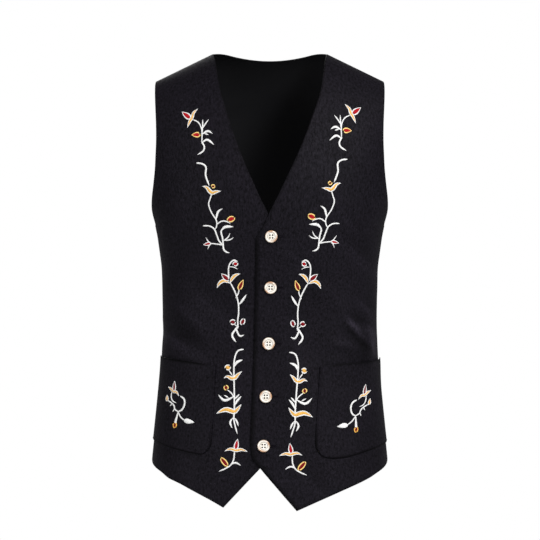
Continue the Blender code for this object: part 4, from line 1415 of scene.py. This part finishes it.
THREADS = {
    "white": thread_material("white_satin_thread", (0.84, 0.84, 0.83), 0.12),
    "yellow": thread_material("yellow_satin_thread", (0.95, 0.69, 0.24), 0.15),
    "gold": thread_material("gold_satin_thread", (0.83, 0.47, 0.09), 0.25),
    "red": thread_material("red_satin_thread", (0.4, 0.006, 0.012), 0.3, 0.55, 0.12),
    "wine": thread_material("wine_satin_thread", (0.2, 0.005, 0.009), 0.3, 0.55, 0.1),
}
THREAD_COLOURS = tuple(THREADS)
BLACK_THREAD = thread_material("black_sewing_thread", (0.0085, 0.007, 0.0105), 0.3, 0.8, 0.03)


# Cloth pieces

LEFT_CLOTH = cloth_shell(
    "left_front", front_places(LEFT_FRONT, 1), FRONT_WALL, BLACK_CLOTH, overlap_lift, left_front_edge_shadow
)
RIGHT_CLOTH = cloth_shell("right_front", front_places(RIGHT_FRONT, -1), FRONT_WALL, BLACK_CLOTH)
BACK_PIECE = cloth_shell("back_panel", back_places(), BACK_WALL, BACK_CLOTH)
LEFT_PATCH, RIGHT_PATCH = [
    cloth_shell(name, pocket_places(outline, side), POCKET_WALL, BLACK_CLOTH, pocket_lift, pocket_edge_shade)
    for name, outline, side in (
        ("left_patch_pocket", LEFT_POCKET, 1),
        ("right_patch_pocket", RIGHT_POCKET, -1),
    )
]

BUTTON_PLACES = []
slits = bmesh.new()
for button_x, button_height in BUTTONS:
    button_turn, button_climb = from_front(button_x, button_height)
    button_layer = overlap_lift(button_turn, button_climb)
    BUTTON_PLACES.append(upright_on(button_turn, button_climb, button_layer))
    add_prism(slits, slit_outline(), *SLIT_CUT, BUTTON_PLACES[-1])
cut_with(LEFT_CLOTH, slits)

# Sewing


def buttonhole_ends(placing):
    """Both ends of the stitches that bind a buttonhole's lips and fan round its far end, past the button."""
    far = SLIT_LENGTH - SLIT_BEFORE
    along = np.arange(HOLE_STITCHES_FROM, far, HOLE_STITCH_PITCH)
    fan = np.radians(np.linspace(-FAN_REACH, FAN_REACH, FAN_STITCHES))
    pairs = []
    for past_slit in (HOLE_STITCH_START, HOLE_STITCH_END):
        reach = SLIT_NARROW / 2 + past_slit
        lips = [np.column_stack((along, np.full(len(along), way * reach))) for way in (-1, 1)]
        end = np.column_stack((far + reach * np.cos(fan), reach * np.sin(fan)))
        spots = [placing @ Vector((x * MM, y * MM, 0.0)) / MM for x, y in np.vstack(lips + [end])]
        pairs.append(np.array([(spot.x, spot.z) for spot in spots]))
    return pairs


def running_ends(line):
    """Both ends of an even row of running stitches down a line of places."""
    solid = body_points(line[:, 0], line[:, 1])
    count = round(np.linalg.norm(np.diff(solid, axis=0), axis=1).sum() / RUNNING_PITCH)
    marks = even_steps(line, solid, RUNNING_PARTS * count)
    return marks[:-1:RUNNING_PARTS], marks[RUNNING_PARTS - 1 :: RUNNING_PARTS]


def black_stitches(name, first, last, lift, puff):
    """Stitches of black thread, as one piece."""
    return threads(name, first, last, np.zeros(len(first), int), lift, [BLACK_THREAD], puff)


def pocket_stitches(name, outline, side):
    """The row of stitches that holds a pocket down its inner edge and along its bottom."""
    grid = pocket_places(outline, side)
    first, last = running_ends(np.vstack((grid[-2:0:-1, 1], grid[1, 1:-1])))
    return black_stitches(name, first, last, pocket_lift, RUNNING_PUFF)


hole_ends = [np.vstack(rows) for rows in zip(*[buttonhole_ends(placing) for placing in BUTTON_PLACES])]
hole_first, hole_last = [shown_places(rows, overlap_lift) for rows in hole_ends]
HOLE_STITCHES = black_stitches("buttonhole_stitches", hole_first, hole_last, overlap_lift, HOLE_STITCH_PUFF)
POCKET_SEWING = (
    pocket_stitches("left_pocket_stitches", LEFT_POCKET, 1),
    pocket_stitches("right_pocket_stitches", RIGHT_POCKET, -1),
)
for piece in (HOLE_STITCHES, *POCKET_SEWING):
    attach(piece, "root")

# Embroidery. Each piece's seed keeps its uneven stitches the same in every run

FRONT_SPRIGS = ("top", "upper", "middle", "lower", "foot")
LEFT_SPRIGS = embroider("left_front_sprigs", FRONT_SPRIGS, 1, overlap_lift, 11)
RIGHT_SPRIGS = embroider("right_front_sprigs", FRONT_SPRIGS, -1, no_lift, 12)
LEFT_FLOWER = embroider("left_pocket_flower", ("pocket",), 1, pocket_lift, 13)
RIGHT_FLOWER = embroider("right_pocket_flower", ("pocket",), -1, pocket_lift, 14)

for piece, node in (
    (LEFT_CLOTH, "front_left"),
    (RIGHT_CLOTH, "front_right"),
    (LEFT_PATCH, "pocket_left"),
    (RIGHT_PATCH, "pocket_right"),
):
    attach(piece, "root")
    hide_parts(node)
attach(BACK_PIECE, "root")
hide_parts("back")

for piece in (LEFT_SPRIGS, RIGHT_SPRIGS, LEFT_FLOWER, RIGHT_FLOWER):
    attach(piece, "root")

# Buttons

CREAM_BUTTON = button_material()


def make_button(number, placing, turned):
    """A turned four-hole button. The mottling turns with it and the holes stay square to the cloth."""
    solid = bmesh.new()
    rings = []
    for radius, height in BUTTON_PROFILE:
        corners = circle(radius, BUTTON_SIDES)
        rings.append([solid.verts.new((x * MM, y * MM, height * MM)) for x, y in corners])
    solid.faces.new(rings[0])
    for upper, lower in zip(rings, rings[1:]):
        for spot in range(BUTTON_SIDES):
            after = (spot + 1) % BUTTON_SIDES
            solid.faces.new((upper[after], upper[spot], lower[spot], lower[after]))
    solid.faces.new(rings[-1][::-1])
    bmesh.ops.recalc_face_normals(solid, faces=solid.faces)
    mesh = bpy.data.meshes.new(f"cream_button_{number}")
    solid.to_mesh(mesh)
    solid.free()
    mesh.materials.append(CREAM_BUTTON)
    mesh.materials.append(BLACK_THREAD)
    button = bpy.data.objects.new(f"cream_button_{number}", mesh)
    bpy.context.scene.collection.objects.link(button)
    square_on = Matrix.Rotation(math.radians(45 - turned), 4, "Z")
    hole_places = circle(HOLE_SPREAD * math.sqrt(2), 4)
    holes = bmesh.new()
    for place in hole_places:
        add_prism(holes, circle(HOLE_RADIUS, HOLE_SIDES, place), *HOLE_CUT, square_on)
    cut_with(button, holes)
    button.data.shade_smooth()
    button.data.set_sharp_from_angle(angle=math.radians(SHARP_ANGLE))
    sewn = bmesh.new()
    sewn.from_mesh(button.data)
    own_faces = len(sewn.faces)
    add_prism(sewn, circle(SHANK_RADIUS, HOLE_SIDES), SHANK_FOOT, SHANK_TOP, Matrix())
    for place in hole_places:
        plug = circle(HOLE_RADIUS * HOLE_THREAD_SHARE, HOLE_SIDES, place)
        add_prism(sewn, plug, 0.0, HOLE_THREAD_TOP, square_on)
    sewn.faces.ensure_lookup_table()
    for face in sewn.faces[own_faces:]:
        face.material_index = 1
    sewn.to_mesh(button.data)
    sewn.free()
    lifted = Matrix.Translation((0, 0, BUTTON_LIFT * MM))
    button.matrix_world = placing @ lifted @ Matrix.Rotation(math.radians(turned), 4, "Z")
    return button


for number, (placing, turned) in enumerate(zip(BUTTON_PLACES, BUTTON_TURNS), 1):
    button = make_button(number, placing, turned)
    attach(button, "root")
    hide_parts(f"button_{number}")

# Floor, light and camera

scene = bpy.context.scene
FLOOR_HEIGHT = -0.72
FLOOR_HALF = 1.2
FLOOR_SIDES = ((-1, -1), (1, -1), (1, 1), (-1, 1))
floor_corners = [(x * FLOOR_HALF, y * FLOOR_HALF, FLOOR_HEIGHT) for x, y in FLOOR_SIDES]
floor_mesh = bpy.data.meshes.new("floor")
floor_mesh.from_pydata(floor_corners, [], [(0, 1, 2, 3)])
floor_mesh.materials.append(new_material("pale_floor", Base_Color=(0.82, 0.82, 0.82, 1.0), Roughness=0.9))
floor = bpy.data.objects.new("floor", floor_mesh)
scene.collection.objects.link(floor)

world = bpy.data.worlds.new("white_studio")
scene.world = world
world.use_nodes = True
sky = world.node_tree
sky.nodes["Background"].inputs["Color"].default_value = (1.0, 1.0, 1.0, 1.0)
seen_directly = sky.nodes.new("ShaderNodeLightPath").outputs["Is Camera Ray"]
WORLD_LIGHT = 0.27
strength = math_node(sky, "MULTIPLY_ADD", seen_directly, 1.0 - WORLD_LIGHT, WORLD_LIGHT)
sky.links.new(strength, sky.nodes["Background"].inputs["Strength"])

# Soft lights: name, place, power in watts, size across in metres
LIGHTS = (
    ("key_light", (1.7, -2.2, 1.6), 105.0, 0.9),
    ("fill_light", (-2.1, -2.0, 0.2), 32.0, 2.0),
    ("back_light", (-0.6, 2.4, 1.0), 22.0, 1.6),
)
AIM = Vector((0.0, 0.0, -0.3))
for name, spot, power, size in LIGHTS:
    light = bpy.data.lights.new(name, "AREA")
    light.energy = power
    light.size = size
    lamp = bpy.data.objects.new(name, light)
    lamp.location = spot
    lamp.rotation_euler = (AIM - Vector(spot)).to_track_quat("-Z", "Y").to_euler()
    lamp.visible_camera = False
    scene.collection.objects.link(lamp)

# A long lens far ahead, so that the fronts show almost without perspective
CAMERA_PLACE = (0.0003, -30.0, -0.2876)
CAMERA_LENS = 1405.0
CAMERA_REACH = 80.0
camera_data = bpy.data.cameras.new("camera")
camera_data.sensor_width = 36.0
camera_data.lens = CAMERA_LENS
camera_data.clip_end = CAMERA_REACH
camera = bpy.data.objects.new("camera", camera_data)
camera.location = CAMERA_PLACE
camera.rotation_euler = (math.radians(90), 0.0, 0.0)
scene.collection.objects.link(camera)
scene.camera = camera
scene.view_settings.view_transform = "Standard"
